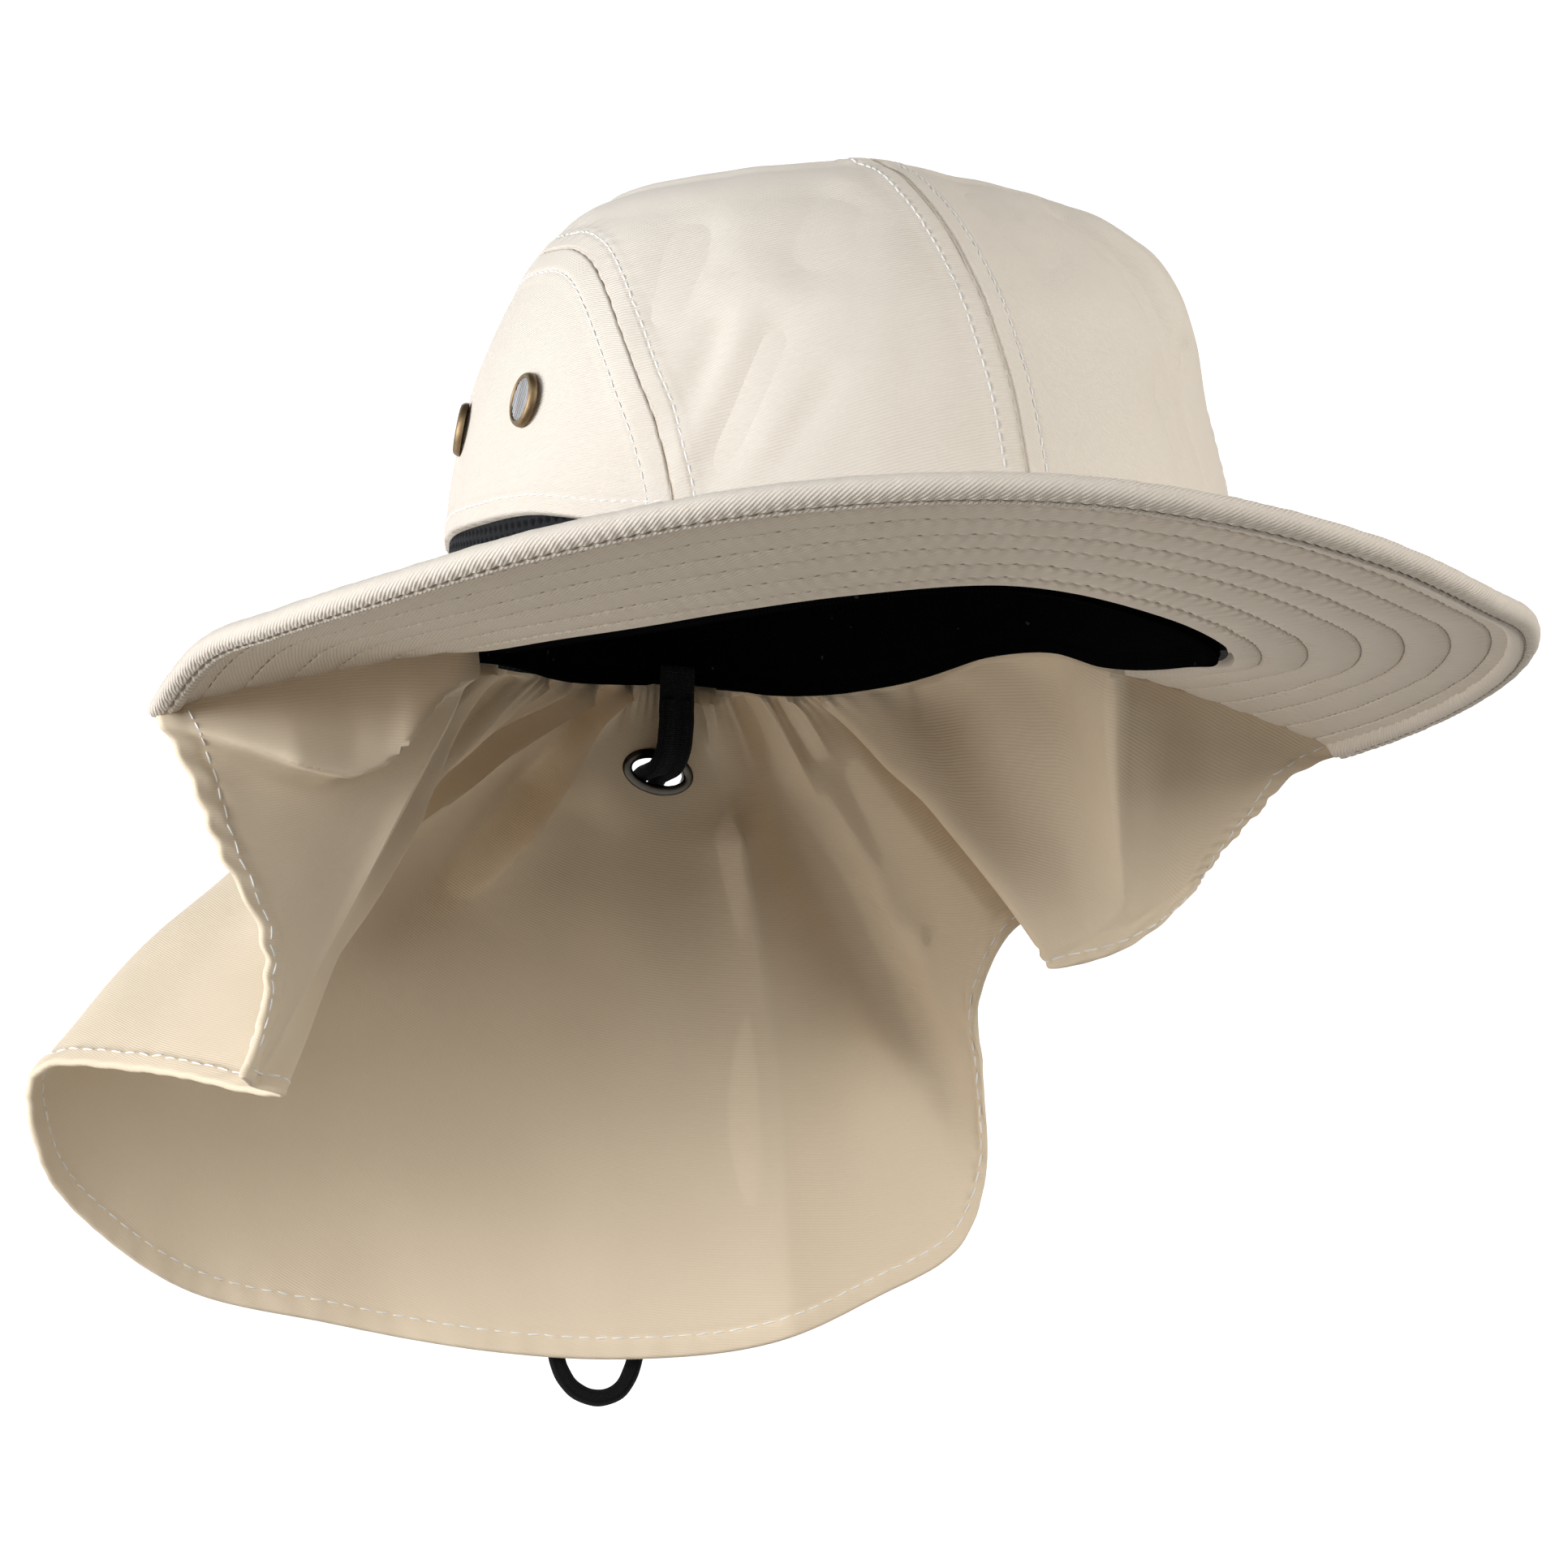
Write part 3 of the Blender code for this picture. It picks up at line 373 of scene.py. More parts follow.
def crown_at(angle, height, inset=0.0):
    """point on the crown at a height share, a distance inside its outer face"""
    turn = np.radians(angle)
    side = smooth(CROWN_SECTIONS, height, 1)
    end = np.where(np.cos(turn) > 0, smooth(CROWN_SECTIONS, height, 2), smooth(CROWN_SECTIONS, height, 3))
    dent = 0.0
    for where, level, wide, tall, depth in CROWN_DENTS:
        fall = (wrapped(angle - where) / wide)**2 + ((height - level) / tall)**2
        dent = dent + depth * HEAD_WIDTH * np.exp(-fall)
    x = (HEAD_WIDTH / 2 - inset - dent) * side * np.sin(turn)
    y = -(HEAD_LENGTH / 2 - inset - dent) * end * np.cos(turn)
    z = base_height(angle) * (1 - height)**BASE_FADE + (CROWN_HEIGHT - inset) * height
    across = LEAN_WAY[0] * x + LEAN_WAY[1] * y
    z = z + step(0.30, 0.85, height) * smooth(CROWN_LEAN, across * 1000) / 1000
    push = SLUMP_PUSH * step(0.30, 0.75, height) * (1 - step(-0.085, -0.035, across))
    swell = 0.0026 * bump_at(height, 0.80, 0.15) - 0.0014 * bump_at(height, 0.44, 0.12)
    push = push + swell * step(0.045, 0.075, across)
    x, y = x + LEAN_WAY[0] * push, y + LEAN_WAY[1] * push
    return np.stack(np.broadcast_arrays(x, y, z), -1)


def crown_heights():
    """pairs of path share from edge to top, and height share"""
    rows = np.array([(row[0] * CROWN_HEIGHT, row[1] * HEAD_WIDTH / 2) for row in CROWN_SECTIONS])
    path = np.concatenate([[0], np.cumsum(np.hypot(*np.diff(rows, axis=0).T))])
    return tuple(zip(path / path[-1], [row[0] for row in CROWN_SECTIONS]))


CROWN_PATH = crown_heights()


def crown_plan(plan, inset=0.0):
    """point on the crown from its round plan, where the edge is 1 from the middle"""
    across, along = plan[..., 0], plan[..., 1]
    reach = np.clip(np.hypot(across, along), 0, 1)
    angle = np.degrees(np.arctan2(across, -along))
    return crown_at(angle, smooth(CROWN_PATH, 1 - reach), inset)


def plan_reach(height):
    """reach on the crown's round plan at a height share"""
    return 1 - np.interp(height, [pair[1] for pair in CROWN_PATH], [pair[0] for pair in CROWN_PATH])


def polar(angle, reach):
    """plan points from angles in degrees and reaches"""
    return np.stack([reach * np.sin(np.radians(angle)), -reach * np.cos(np.radians(angle))], -1)


def band_top(angle):
    """height share of the mesh band's top, where the back panel starts"""
    return BAND_HEIGHT / CROWN_HEIGHT * smooth(BAND_TOP, np.abs(wrapped(angle)))


def side_seam(count):
    """plan points of the left side seam, from the mesh band's top to the centre back"""
    angles = np.linspace(SIDE_SEAM[0][0], 180, 3000)
    reaches = smooth(SIDE_SEAM, angles)
    above = reaches < plan_reach(band_top(angles))
    return resampled(polar(angles[above], reaches[above]), count)


def path_lengths(points):
    """distance along a line of points"""
    return np.concatenate([[0], np.cumsum(np.linalg.norm(np.diff(points, axis=0), axis=1))])


def at_lengths(wanted, path, values):
    """rows of values at wanted distances along a path"""
    return np.stack([np.interp(wanted, path, values[:, k]) for k in range(values.shape[1])], -1)


def resampled(points, count):
    """count evenly spaced points on a line of points"""
    path = path_lengths(points)
    return at_lengths(np.linspace(0, path[-1], count), path, points)


def unit(vectors):
    """vectors brought to length 1"""
    return vectors / np.linalg.norm(vectors, axis=-1, keepdims=True)


def rings(side, up, turn):
    """offsets of length 1 round each point of a line, from its side and up directions"""
    return side[:, None] * np.cos(turn)[None, :, None] + up[:, None] * np.sin(turn)[None, :, None]


def upright(count, way):
    """normals straight up (1) or down (-1)"""
    normals = np.zeros((count, 3))
    normals[:, 2] = way
    return normals


def brim_at(angle, share):
    """middle of the brim's thickness at a share of its width"""
    inner = base_height(angle)
    dip = BRIM_LIFT * smooth(BRIM_EDGE, angle, 1) - inner
    width = BRIM_WIDTH * smooth(BRIM_EDGE, angle, 2)
    level = np.sqrt(width**2 - dip**2)
    x, y = oval(angle, GAP + share * level)
    return np.stack(np.broadcast_arrays(x, y, inner + dip * np.maximum(share, 0)**BRIM_CURL), -1)


def flap_seam(share):
    """top edge of the flap: under the brim's right end, round the band, under its left end"""
    share = np.asarray(share, float)
    middle = np.clip((share - SEAM_BRIM_RIGHT) / (SEAM_BRIM_LEFT - SEAM_BRIM_RIGHT), 0, 1)
    angle = -BRIM_END_ANGLE - middle * (360 - 2 * BRIM_END_ANGLE)
    x, y = oval(angle, -CROWN_CLOTH - LAYER_GAP - BAND_CLOTH / 2)
    band = np.stack(np.broadcast_arrays(x, y, base_height(angle) - GAP), -1)
    right = 1 - np.clip(share / SEAM_BRIM_RIGHT, 0, 1)
    left = np.clip((share - SEAM_BRIM_LEFT) / (1 - SEAM_BRIM_LEFT), 0, 1)
    along = np.maximum(right, left) * SEAM_BRIM_REACH
    edge = brim_at(np.where(share < 0.5, -BRIM_END_ANGLE, BRIM_END_ANGLE), along)
    edge[..., 2] -= 0.0010
    ease = np.clip(along / SEAM_CORNER_EASE, 0, 1)[..., None]
    return band * (1 - ease) + edge * ease


def flap_at(along, down):
    """point on the middle of the flap's cloth"""
    along = np.asarray(along, float)
    down = np.asarray(down, float)
    seam = smooth(FLAP_SECTIONS, along, 1)
    bearing = np.radians(smooth(FLAP_SECTIONS, along, 2))
    reach = HEM_REACH * smooth(FLAP_SECTIONS, along, 3)
    drop = FLAP_DROP * smooth(FLAP_SECTIONS, along, 4)
    belly = HEM_REACH * smooth(FLAP_SECTIONS, along, 5)
    top = flap_seam(seam)
    hem = np.stack([reach * np.sin(bearing), -reach * np.cos(bearing), -drop], -1)
    away = np.stack([np.sin(bearing), -np.cos(bearing), np.zeros_like(bearing)], -1)
    on_band = np.clip(np.minimum(seam - SEAM_BRIM_RIGHT, SEAM_BRIM_LEFT - seam) / GATHER_EASE, 0, 1)
    pleat = 0.5 + 0.5 * np.cos(2 * math.pi * GATHER_COUNT * seam)
    fade = down / GATHER_FADE * np.exp(1 - down / GATHER_FADE)
    push = belly * np.sin(math.pi * down) + GATHER_DEPTH * on_band * pleat * fade
    return top + (hem - top) * down[..., None] + away * push[..., None]


def brim_thickness(share):
    """distance from the middle of the brim to either face, puffed between rows"""
    share = np.asarray(share, float)
    rows = np.array((-0.02, *BRIM_ROWS, BRIM_EDGE_ROW + 0.012))
    k = np.clip(np.searchsorted(rows, share) - 1, 0, len(rows) - 2)
    width = rows[k + 1] - rows[k]
    part = np.clip((share - rows[k]) / width, 0, 1)
    puff = np.minimum(1, width / 0.09) * (4 * part * (1 - part))**0.35
    return np.where(share > BRIM_EDGE_ROW, BRIM_EDGE_HALF, BRIM_HALF + BRIM_PUFF * puff)


# Meshes

def grid_normals(points):
    """unit normals of a grid of points"""
    normals = np.cross(np.gradient(points, axis=0), np.gradient(points, axis=1))
    size = np.linalg.norm(normals, axis=-1, keepdims=True)
    return normals / np.maximum(size, 1e-12)


def grid_lengths(points):
    """distances along the columns and along the rows of a grid, in metres"""
    first = np.zeros(points.shape[:2])
    first[1:] = np.cumsum(np.linalg.norm(np.diff(points, axis=0), axis=-1), axis=0)
    second = np.zeros(points.shape[:2])
    second[:, 1:] = np.cumsum(np.linalg.norm(np.diff(points, axis=1), axis=-1), axis=1)
    return first, second


def turned(uv, degrees):
    """weave coordinates turned by an angle"""
    c, s = math.cos(math.radians(degrees)), math.sin(math.radians(degrees))
    return np.stack([uv[..., 0] * c + uv[..., 1] * s, uv[..., 1] * c - uv[..., 0] * s], -1)


def built(name, points, faces, finish, uv=None, sharp=40, weld=False):
    """an object from points and faces with its weave coordinates, smooth shading and material"""
    data = bpy.data.meshes.new(name)
    data.from_pydata(np.asarray(points).tolist(), [], faces if isinstance(faces, list) else faces.tolist())
    uv = np.zeros((len(points), 2)) if uv is None else np.asarray(uv)
    corner = np.empty(len(data.loops), dtype=np.int32)
    data.loops.foreach_get("vertex_index", corner)
    layer = data.uv_layers.new(name="weave")
    layer.data.foreach_set("uv", uv.astype(np.float32)[corner].ravel())
    if weld:
        mesh = bmesh.new()
        mesh.from_mesh(data)
        bmesh.ops.remove_doubles(mesh, verts=mesh.verts, dist=0.000002)
        bmesh.ops.recalc_face_normals(mesh, faces=mesh.faces)
        mesh.to_mesh(data)
        mesh.free()
    data.shade_smooth()
    data.set_sharp_from_angle(angle=math.radians(sharp))
    data.materials.append(finish)
    thing = bpy.data.objects.new(name, data)
    bpy.context.scene.collection.objects.link(thing)
    return thing


def shell(name, outer, inner, uv, finish, closed=False, weld=False, sharp=40):
    """closed cloth wall between two grids of points"""
    rows, columns = outer.shape[:2]
    count = rows * columns
    index = np.arange(count).reshape(rows, columns)
    low = index if closed else index[:-1]
    high = np.roll(index, -1, axis=0) if closed else index[1:]
    face = np.stack([low[:, :-1], high[:, :-1], high[:, 1:], low[:, 1:]], -1).reshape(-1, 4)
    sets = [face, face[:, ::-1] + count]
    for column, order in ((0, 1), (columns - 1, -1)):
        a, b = low[:, column], high[:, column]
        sets.append(np.stack([a, a + count, b + count, b], -1)[:, ::order])
    if not closed:
        for row, order in ((0, -1), (rows - 1, 1)):
            a, b = index[row, :-1], index[row, 1:]
            sets.append(np.stack([a, a + count, b + count, b], -1)[:, ::order])
    faces = np.concatenate(sets)
    points = np.concatenate([outer.reshape(-1, 3), inner.reshape(-1, 3)])
    corner = points[face]
    normal = np.cross(corner[:, 2] - corner[:, 0], corner[:, 3] - corner[:, 1])
    outward = corner.mean(1) - points[face + count].mean(1)
    if (normal * outward).sum() < 0:
        faces = faces[:, ::-1]
    both = np.concatenate([uv.reshape(-1, 2)] * 2)
    return built(name, points, faces, finish, both, sharp, weld)


def tube_faces(rows, sides):
    """faces of a tube with caps, from rows of points round it"""
    index = np.arange(rows * sides).reshape(rows, sides)
    a, b = index[:-1], index[1:]
    faces = np.stack([a, np.roll(a, -1, 1), np.roll(b, -1, 1), b], -1).reshape(-1, 4).tolist()
    return faces + [index[0][::-1].tolist(), index[-1].tolist()]


def tube(name, path, radius, sides, finish, relief):
    """round tube along a path; relief gives a radius factor from distance and turn"""
    along = unit(np.gradient(path, axis=0))
    side = np.zeros_like(path)
    side[0] = Vector(along[0]).orthogonal().normalized()
    for i in range(1, len(path)):
        side[i] = unit(side[i - 1] - along[i] * (side[i - 1] @ along[i]))
    up = np.cross(along, side)
    turn = np.linspace(0, 2 * math.pi, sides, endpoint=False)
    length = path_lengths(path)[:, None]
    size = radius * relief(length, turn[None])
    points = path[:, None] + rings(side, up, turn) * size[..., None]
    uv = np.stack(np.broadcast_arrays(turn[None] * radius, length), -1)
    return built(name, points.reshape(-1, 3), tube_faces(len(path), sides), finish, uv.reshape(-1, 2), 60)


def lathed(name, place, profile, sides, finish, sharp, hole=(0, 0)):
    """ring turned round Z from a closed profile of widths and heights, outside an oval hole"""
    points, faces = [], []
    count = len(profile)
    for k in range(sides):
        turn = 2 * math.pi * k / sides
        across, along = math.cos(turn), math.sin(turn)
        for width, height in profile:
            points.append(place @ Vector(((hole[0] + width) * across, (hole[1] + width) * along, height)))
        n = (k + 1) % sides
        for m in range(count):
            j = (m + 1) % count
            faces.append([k * count + m, n * count + m, n * count + j, k * count + j])
    return built(name, points, faces, finish, None, sharp, weld=True)


def crossing(grid, normals, distance, wanted):
    """line of points, with normals, where the distance along each row first reaches a value"""
    points, ups = [], []
    for line, up, far in zip(grid, normals, distance):
        k = int(np.argmax(far >= wanted))
        if k == 0 or far[k] < wanted:
            continue
        f = (wanted - far[k - 1]) / (far[k] - far[k - 1])
        points.append(line[k - 1] * (1 - f) + line[k] * f)
        ups.append(up[k - 1] * (1 - f) + up[k] * f)
    return np.array(points), np.array(ups)


STITCH_RINGS = ((-0.50, -0.9, 0.45), (-0.34, 0.25, 0.95), (0.0, 0.62, 1.0), (0.34, 0.25, 0.95), (0.50, -0.9, 0.45))


def stitches(name, lines, finish, pitch=0.0031, length=0.0026, radius=0.00024, sides=5, seed=1):
    """a row of thread stitches along each line of points and normals"""
    rng = np.random.default_rng(seed)
    centres, tangents, ups = [], [], []
    for points, normals in lines:
        path = path_lengths(points)
        where = np.arange(pitch / 2, path[-1] - pitch / 2, pitch)
        ahead, behind = (at_lengths(where + half, path, points) for half in (length / 2, -length / 2))
        centres.append((ahead + behind) / 2 * 0.5 + at_lengths(where, path, points) * 0.5)
        tangents.append(ahead - behind)
        ups.append(at_lengths(where, path, normals))
    centre, tangent, up = np.concatenate(centres), np.concatenate(tangents), np.concatenate(ups)
    tangent = unit(tangent)
    up = unit(up - tangent * (up * tangent).sum(1, keepdims=True))
    side = np.cross(tangent, up)
    lean = rng.normal(0, 0.06, len(centre))[:, None]
    tangent = tangent + side * lean
    sizes = length * rng.uniform(0.93, 1.05, len(centre))[:, None]
    turn = np.linspace(0, 2 * math.pi, sides, endpoint=False)
    loops = []
    for share, lift, thick in STITCH_RINGS:
        middle = centre + tangent * share * sizes + up * lift * radius
        loops.append(middle[:, None] + rings(side, up, turn) * radius * thick)
    points = np.stack(loops, 1)
    one = []
    for i in range(len(STITCH_RINGS) - 1):
        for k in range(sides):
            n = (k + 1) % sides
            one.append((i * sides + k, i * sides + n, (i + 1) * sides + n, (i + 1) * sides + k))
    each = len(STITCH_RINGS) * sides
    quads = (np.array(one)[None] + (np.arange(len(centre)) * each)[:, None, None]).reshape(-1, 4).tolist()
    for k in range(len(centre)):
        quads.append([k * each + sides - 1 - m for m in range(sides)])
        quads.append([k * each + (len(STITCH_RINGS) - 1) * sides + m for m in range(sides)])
    thing = built(name, points.reshape(-1, 3), quads, finish, None, 80)
    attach(thing, "root")
    return thing


# Materials

class Finish:
    """a node material, built up step by step"""

    def __init__(self, name):
        self.made = bpy.data.materials.new(name)
        self.made.use_nodes = True
        self.nodes, self.links = self.made.node_tree.nodes, self.made.node_tree.links
        self.shader = self.nodes["Principled BSDF"]
        self.where = self.nodes.new("ShaderNodeTexCoord").outputs["Object"]

    def feed(self, socket, value):
        """give a socket a number, a colour or a link"""
        if isinstance(value, bpy.types.NodeSocket):
            self.links.new(value, socket)
        else:
            socket.default_value = (*value, 1.0) if isinstance(value, tuple) else value

    def math(self, kind, *values):
        """a Math node's value"""
        node = self.nodes.new("ShaderNodeMath")
        node.operation = kind
        for socket, value in zip(node.inputs, values):
            self.feed(socket, value)
        return node.outputs[0]

    def times(self, value, factor, more=None):
        """value times factor, plus more"""
        if more is None:
            return self.math("MULTIPLY", value, factor)
        return self.math("MULTIPLY_ADD", value, factor, more)

    def wave(self, value, pitch, kind="SINE"):
        """a wave of a coordinate, between -1 and 1"""
        return self.math(kind, self.times(value, 2 * math.pi / pitch))

    def clamp(self, value):
        """a value kept between 0 and 1"""
        node = self.nodes.new("ShaderNodeClamp")
        self.feed(node.inputs[0], value)
        return node.outputs[0]

    def noise(self, scale, detail=2.0, roughness=0.5):
        """a Noise texture's value over the object's own place"""
        node = self.nodes.new("ShaderNodeTexNoise")
        for name, value in (("Scale", scale), ("Detail", detail), ("Roughness", roughness), ("Vector", self.where)):
            self.feed(node.inputs[name], value)
        return node.outputs["Fac"]

    def mix(self, factor, low, high):
        """a colour between two"""
        node = self.nodes.new("ShaderNodeMix")
        node.data_type = "RGBA"
        for socket, value in ((node.inputs["Factor"], factor), (node.inputs[6], low), (node.inputs[7], high)):
            self.feed(socket, value)
        return node.outputs[2]

    def uv(self):
        """the weave coordinates"""
        node = self.nodes.new("ShaderNodeUVMap")
        node.uv_map = "weave"
        return node.outputs["UV"]

    def weave(self):
        """the two weave coordinates one by one"""
        node = self.nodes.new("ShaderNodeSeparateXYZ")
        self.feed(node.inputs[0], self.uv())
        return node.outputs["X"], node.outputs["Y"]

    def bump(self, height, distance):
        """a bump from a height in units of the distance"""
        node = self.nodes.new("ShaderNodeBump")
        for name, value in (("Strength", 1.0), ("Distance", distance), ("Height", height)):
            self.feed(node.inputs[name], value)
        self.feed(self.shader.inputs["Normal"], node.outputs["Normal"])

    def done(self, values):
        """the material, with the shader's sockets set by name"""
        for name, value in values.items():
            self.feed(self.shader.inputs[name], value)
        return self.made


def weave_material(name, pale, deep, pitch, relief, crinkle, contrast=0.30):
    """twill cloth: fine ridges across the weave coordinates, threads along them, soft unevenness"""
    cloth = Finish(name)
    along, across = cloth.weave()
    across = cloth.times(cloth.noise(160.0), 0.0005, across)
    ridge = cloth.times(cloth.wave(across, pitch), 0.5, 0.5)
    thread = cloth.times(across, math.pi / pitch, cloth.times(along, 2 * math.pi / (pitch * 0.62)))
    thread = cloth.times(cloth.math("SINE", thread), 0.5, 0.5)
    weave = cloth.times(thread, 0.22, ridge)
    soft = cloth.noise(26.0, 3.0, 0.55)
    grain = cloth.noise(900.0, 2.0, 0.6)
    tone = cloth.times(weave, contrast, cloth.times(soft, 0.50, 0.10))
    tone = cloth.clamp(cloth.times(grain, 0.22, tone))
    height = cloth.times(cloth.noise(55.0, 3.0), crinkle, cloth.times(weave, relief))
    cloth.bump(cloth.times(grain, relief * 0.5, height), 0.001)
    return cloth.done({
        "Base Color": cloth.mix(tone, deep, pale), "Roughness": cloth.times(soft, 0.12, 0.74),
        "Sheen Weight": 0.12, "Sheen Roughness": 0.45, "Sheen Tint": (1.0, 0.97, 0.92), "Specular IOR Level": 0.25,
    })


def thread_material(name, colour):
    """sewing thread with a fine twist"""
    thread = Finish(name)
    fibre = thread.noise(2500.0)
    tone = thread.times(fibre, 0.5, thread.times(thread.noise(120.0, 1.0), 0.5))
    thread.bump(fibre, 0.00008)
    return thread.done({
        "Base Color": thread.mix(tone, tuple(c * 0.78 for c in colour), colour), "Roughness": 0.6,
        "Sheen Weight": 0.3, "Specular IOR Level": 0.3,
    })


def knit_material(name):
    """black knitted sweatband cloth with fine vertical ribs and a little lint"""
    cloth = Finish(name)
    along, across = cloth.weave()
    knit = cloth.times(cloth.wave(across, 0.0007), 0.4, cloth.wave(along, 0.0009))
    soft = cloth.noise(40.0, 3.0)
    speck = cloth.times(cloth.math("GREATER_THAN", cloth.noise(520.0, 1.0), 0.79), 0.12)
    base = cloth.mix(soft, (0.0018, 0.0018, 0.002), (0.0045, 0.0045, 0.005))
    cloth.bump(cloth.times(soft, 4.0, knit), 0.00006)
    return cloth.done({
        "Base Color": cloth.mix(speck, base, (0.35, 0.35, 0.34)), "Roughness": 0.9, "Specular IOR Level": 0.0,
    })


def mesh_material(name):
    """black spacer mesh: rows of small round holes, offset by half a step, with the holes painted near-black as
    shade
    """
    mesh = Finish(name)
    cell = mesh.nodes.new("ShaderNodeTexVoronoi")
    for socket, value in (("Randomness", 0.0), ("Scale", 1.0), ("Vector", mesh.uv())):
        mesh.feed(cell.inputs[socket], value)
    hole = mesh.clamp(mesh.math("SUBTRACT", 1.0, mesh.times(cell.outputs["Distance"], 2.4)))
    fibre = mesh.noise(1400.0)
    rim = mesh.mix(fibre, (0.005, 0.005, 0.0055), (0.020, 0.020, 0.021))
    mesh.bump(mesh.times(fibre, 0.25, mesh.times(hole, -1.0)), 0.0006)
    return mesh.done({
        # the near-black in the holes is painted shade, darker than the black yarn
        "Base Color": mesh.mix(hole, rim, (0.0008, 0.0008, 0.0009)), "Roughness": 0.8, "Specular IOR Level": 0.08,
    })


def cord_material(name):
    """black woven cord with a slightly fuzzy braid"""
    cord = Finish(name)
    along, across = cord.weave()
    one, two = (cord.wave(cord.math(kind, along, across), 0.0011) for kind in ("ADD", "SUBTRACT"))
    fibre = cord.noise(2200.0)
    cord.bump(cord.times(fibre, 0.8, cord.times(one, two)), 0.00016)
    return cord.done({
        "Base Color": cord.mix(fibre, (0.0022, 0.0022, 0.0024), (0.009, 0.009, 0.0095)), "Roughness": 0.9,
        "Specular IOR Level": 0.08,
    })


def metal_material(name, colour, worn, roughness, scale):
    """plated metal with faint scuffs and uneven tone"""
    metal = Finish(name)
    scuff = metal.noise(scale, 4.0, 0.65)
    metal.bump(metal.noise(scale * 4), 0.00002)
    return metal.done({
        "Base Color": metal.mix(scuff, colour, worn), "Roughness": metal.times(scuff, 0.18, roughness - 0.07),
        "Metallic": 1.0,
    })


def screen_material(name, pitch):
    """pale metal bars over gaps painted dark: painted shade of the openings into the crown"""
    screen = Finish(name)
    bar = screen.clamp(screen.times(screen.wave(screen.weave()[0], pitch, "COSINE"), 2.2, 0.1))
    pale = screen.mix(screen.noise(900.0, 3.0), (0.34, 0.33, 0.32), (0.48, 0.47, 0.46))
    return screen.done({
        # the dark colour between the bars is painted shade of the vent openings
        "Base Color": screen.mix(bar, (0.030, 0.030, 0.034), pale), "Roughness": 0.5, "Metallic": 0.35,
    })


def plastic_material(name):
    """black moulded plastic with a fine texture"""
    plastic = Finish(name)
    tone = plastic.mix(plastic.noise(180.0), (0.010, 0.010, 0.011), (0.020, 0.020, 0.021))
    plastic.bump(plastic.noise(1500.0), 0.00005)
    return plastic.done({"Base Color": tone, "Roughness": 0.42})


def stage_material(name, colour):
    """plain pale floor and backdrop"""
    stage = Finish(name)
    tone = stage.mix(stage.noise(3.0, 1.0), tuple(c * 0.985 for c in colour), colour)
    return stage.done({
        "Base Color": tone, "Roughness": 0.9, "Specular IOR Level": 0.0, "Emission Color": (1.0, 1.0, 1.0),
        "Emission Strength": 0.95,
    })


KHAKI = weave_material("khaki_twill", (0.755, 0.665, 0.555), (0.625, 0.545, 0.445), 0.00075, 0.080, 0.35)
BRIM_KHAKI = weave_material("brim_twill", (0.72, 0.622, 0.505), (0.61, 0.522, 0.415), 0.00075, 0.055, 0.20)
RIM_KHAKI = weave_material("rim_twill", (0.72, 0.63, 0.525), (0.55, 0.475, 0.385), 0.00080, 0.130, 0.20)
FLAP_KHAKI = weave_material("flap_twill", (0.775, 0.640, 0.465), (0.66, 0.525, 0.365), 0.00062, 0.028, 0.40, 0.16)
THREAD = thread_material("cream_thread", (0.93, 0.905, 0.85))
# Brim rows: thread coloured dark brown as painted shade of the stitched grooves under the brim
SHADE_DARK_BRIM_THREAD = thread_material("painted_shade_brim_thread", (0.20, 0.16, 0.11))
# Rim edge stitch: thread coloured dark brown as painted shade of the groove under the rolled rim
SHADE_DARK_RIM_THREAD = thread_material("painted_shade_rim_thread", (0.22, 0.17, 0.12))
KNIT = knit_material("black_knit")
MESH = mesh_material("black_spacer_mesh")
CORD = cord_material("black_braid")
BRONZE = metal_material("antique_bronze", (0.085, 0.055, 0.028), (0.25, 0.175, 0.095), 0.42, 420.0)
STEEL = screen_material("barred_screen", VENT_PITCH)
GUNMETAL = metal_material("dark_gunmetal", (0.022, 0.019, 0.016), (0.050, 0.044, 0.036), 0.24, 300.0)
PLASTIC = plastic_material("black_plastic")


# Crown

def edge_shares(count, near, width):
    """shares from 0 to 1, closer together within a width at each end"""
    part = max(3, int(count * near))
    ends = np.linspace(0, width, part)
    middle = np.linspace(width, 1 - width, count - 2 * part + 2)
    return np.concatenate([ends[:-1], middle, 1 - ends[-2::-1]])


def seam_relief(distance, stitch):
    """raised allowance between a seam and its topstitch, the seam's groove and the stitch's dent"""
    far = distance * 1000
    line = stitch * 1000
    raised = 0.55 * (1 - step(line + 0.2, line + 2.4, far))
    groove = -0.85 * bump_at(far, 0, 0.30)
    dent = -0.42 * bump_at(far, line, 0.65)
    return (raised + groove + dent) / 1000


def nearest(points, line):
    """distance of each point of a grid from a line of points"""
    flat = points.reshape(-1, 3)
    best = np.full(len(flat), 9.0)
    for start in range(0, len(line), 40):
        part = line[start:start + 40]
        gap = np.linalg.norm(flat[:, None] - part[None], axis=2)
        best = np.minimum(best, gap.min(1))
    return best.reshape(points.shape[:2])


def crown_soft(points):
    """soft unevenness of the crown's cloth, as a height"""
    wide = ripple(points, 0.060, 3) * 0.00055
    fine = ripple(points * (1.0, 1.0, 0.45), 0.016, 5) * 0.00020
    return wide + fine


def outward(points):
    """unit normals of a crown grid, away from the head"""
    normals = grid_normals(points)
    away = points - np.array([0, 0, 0.02])
    return normals * np.sign((normals * away).sum(-1).sum())


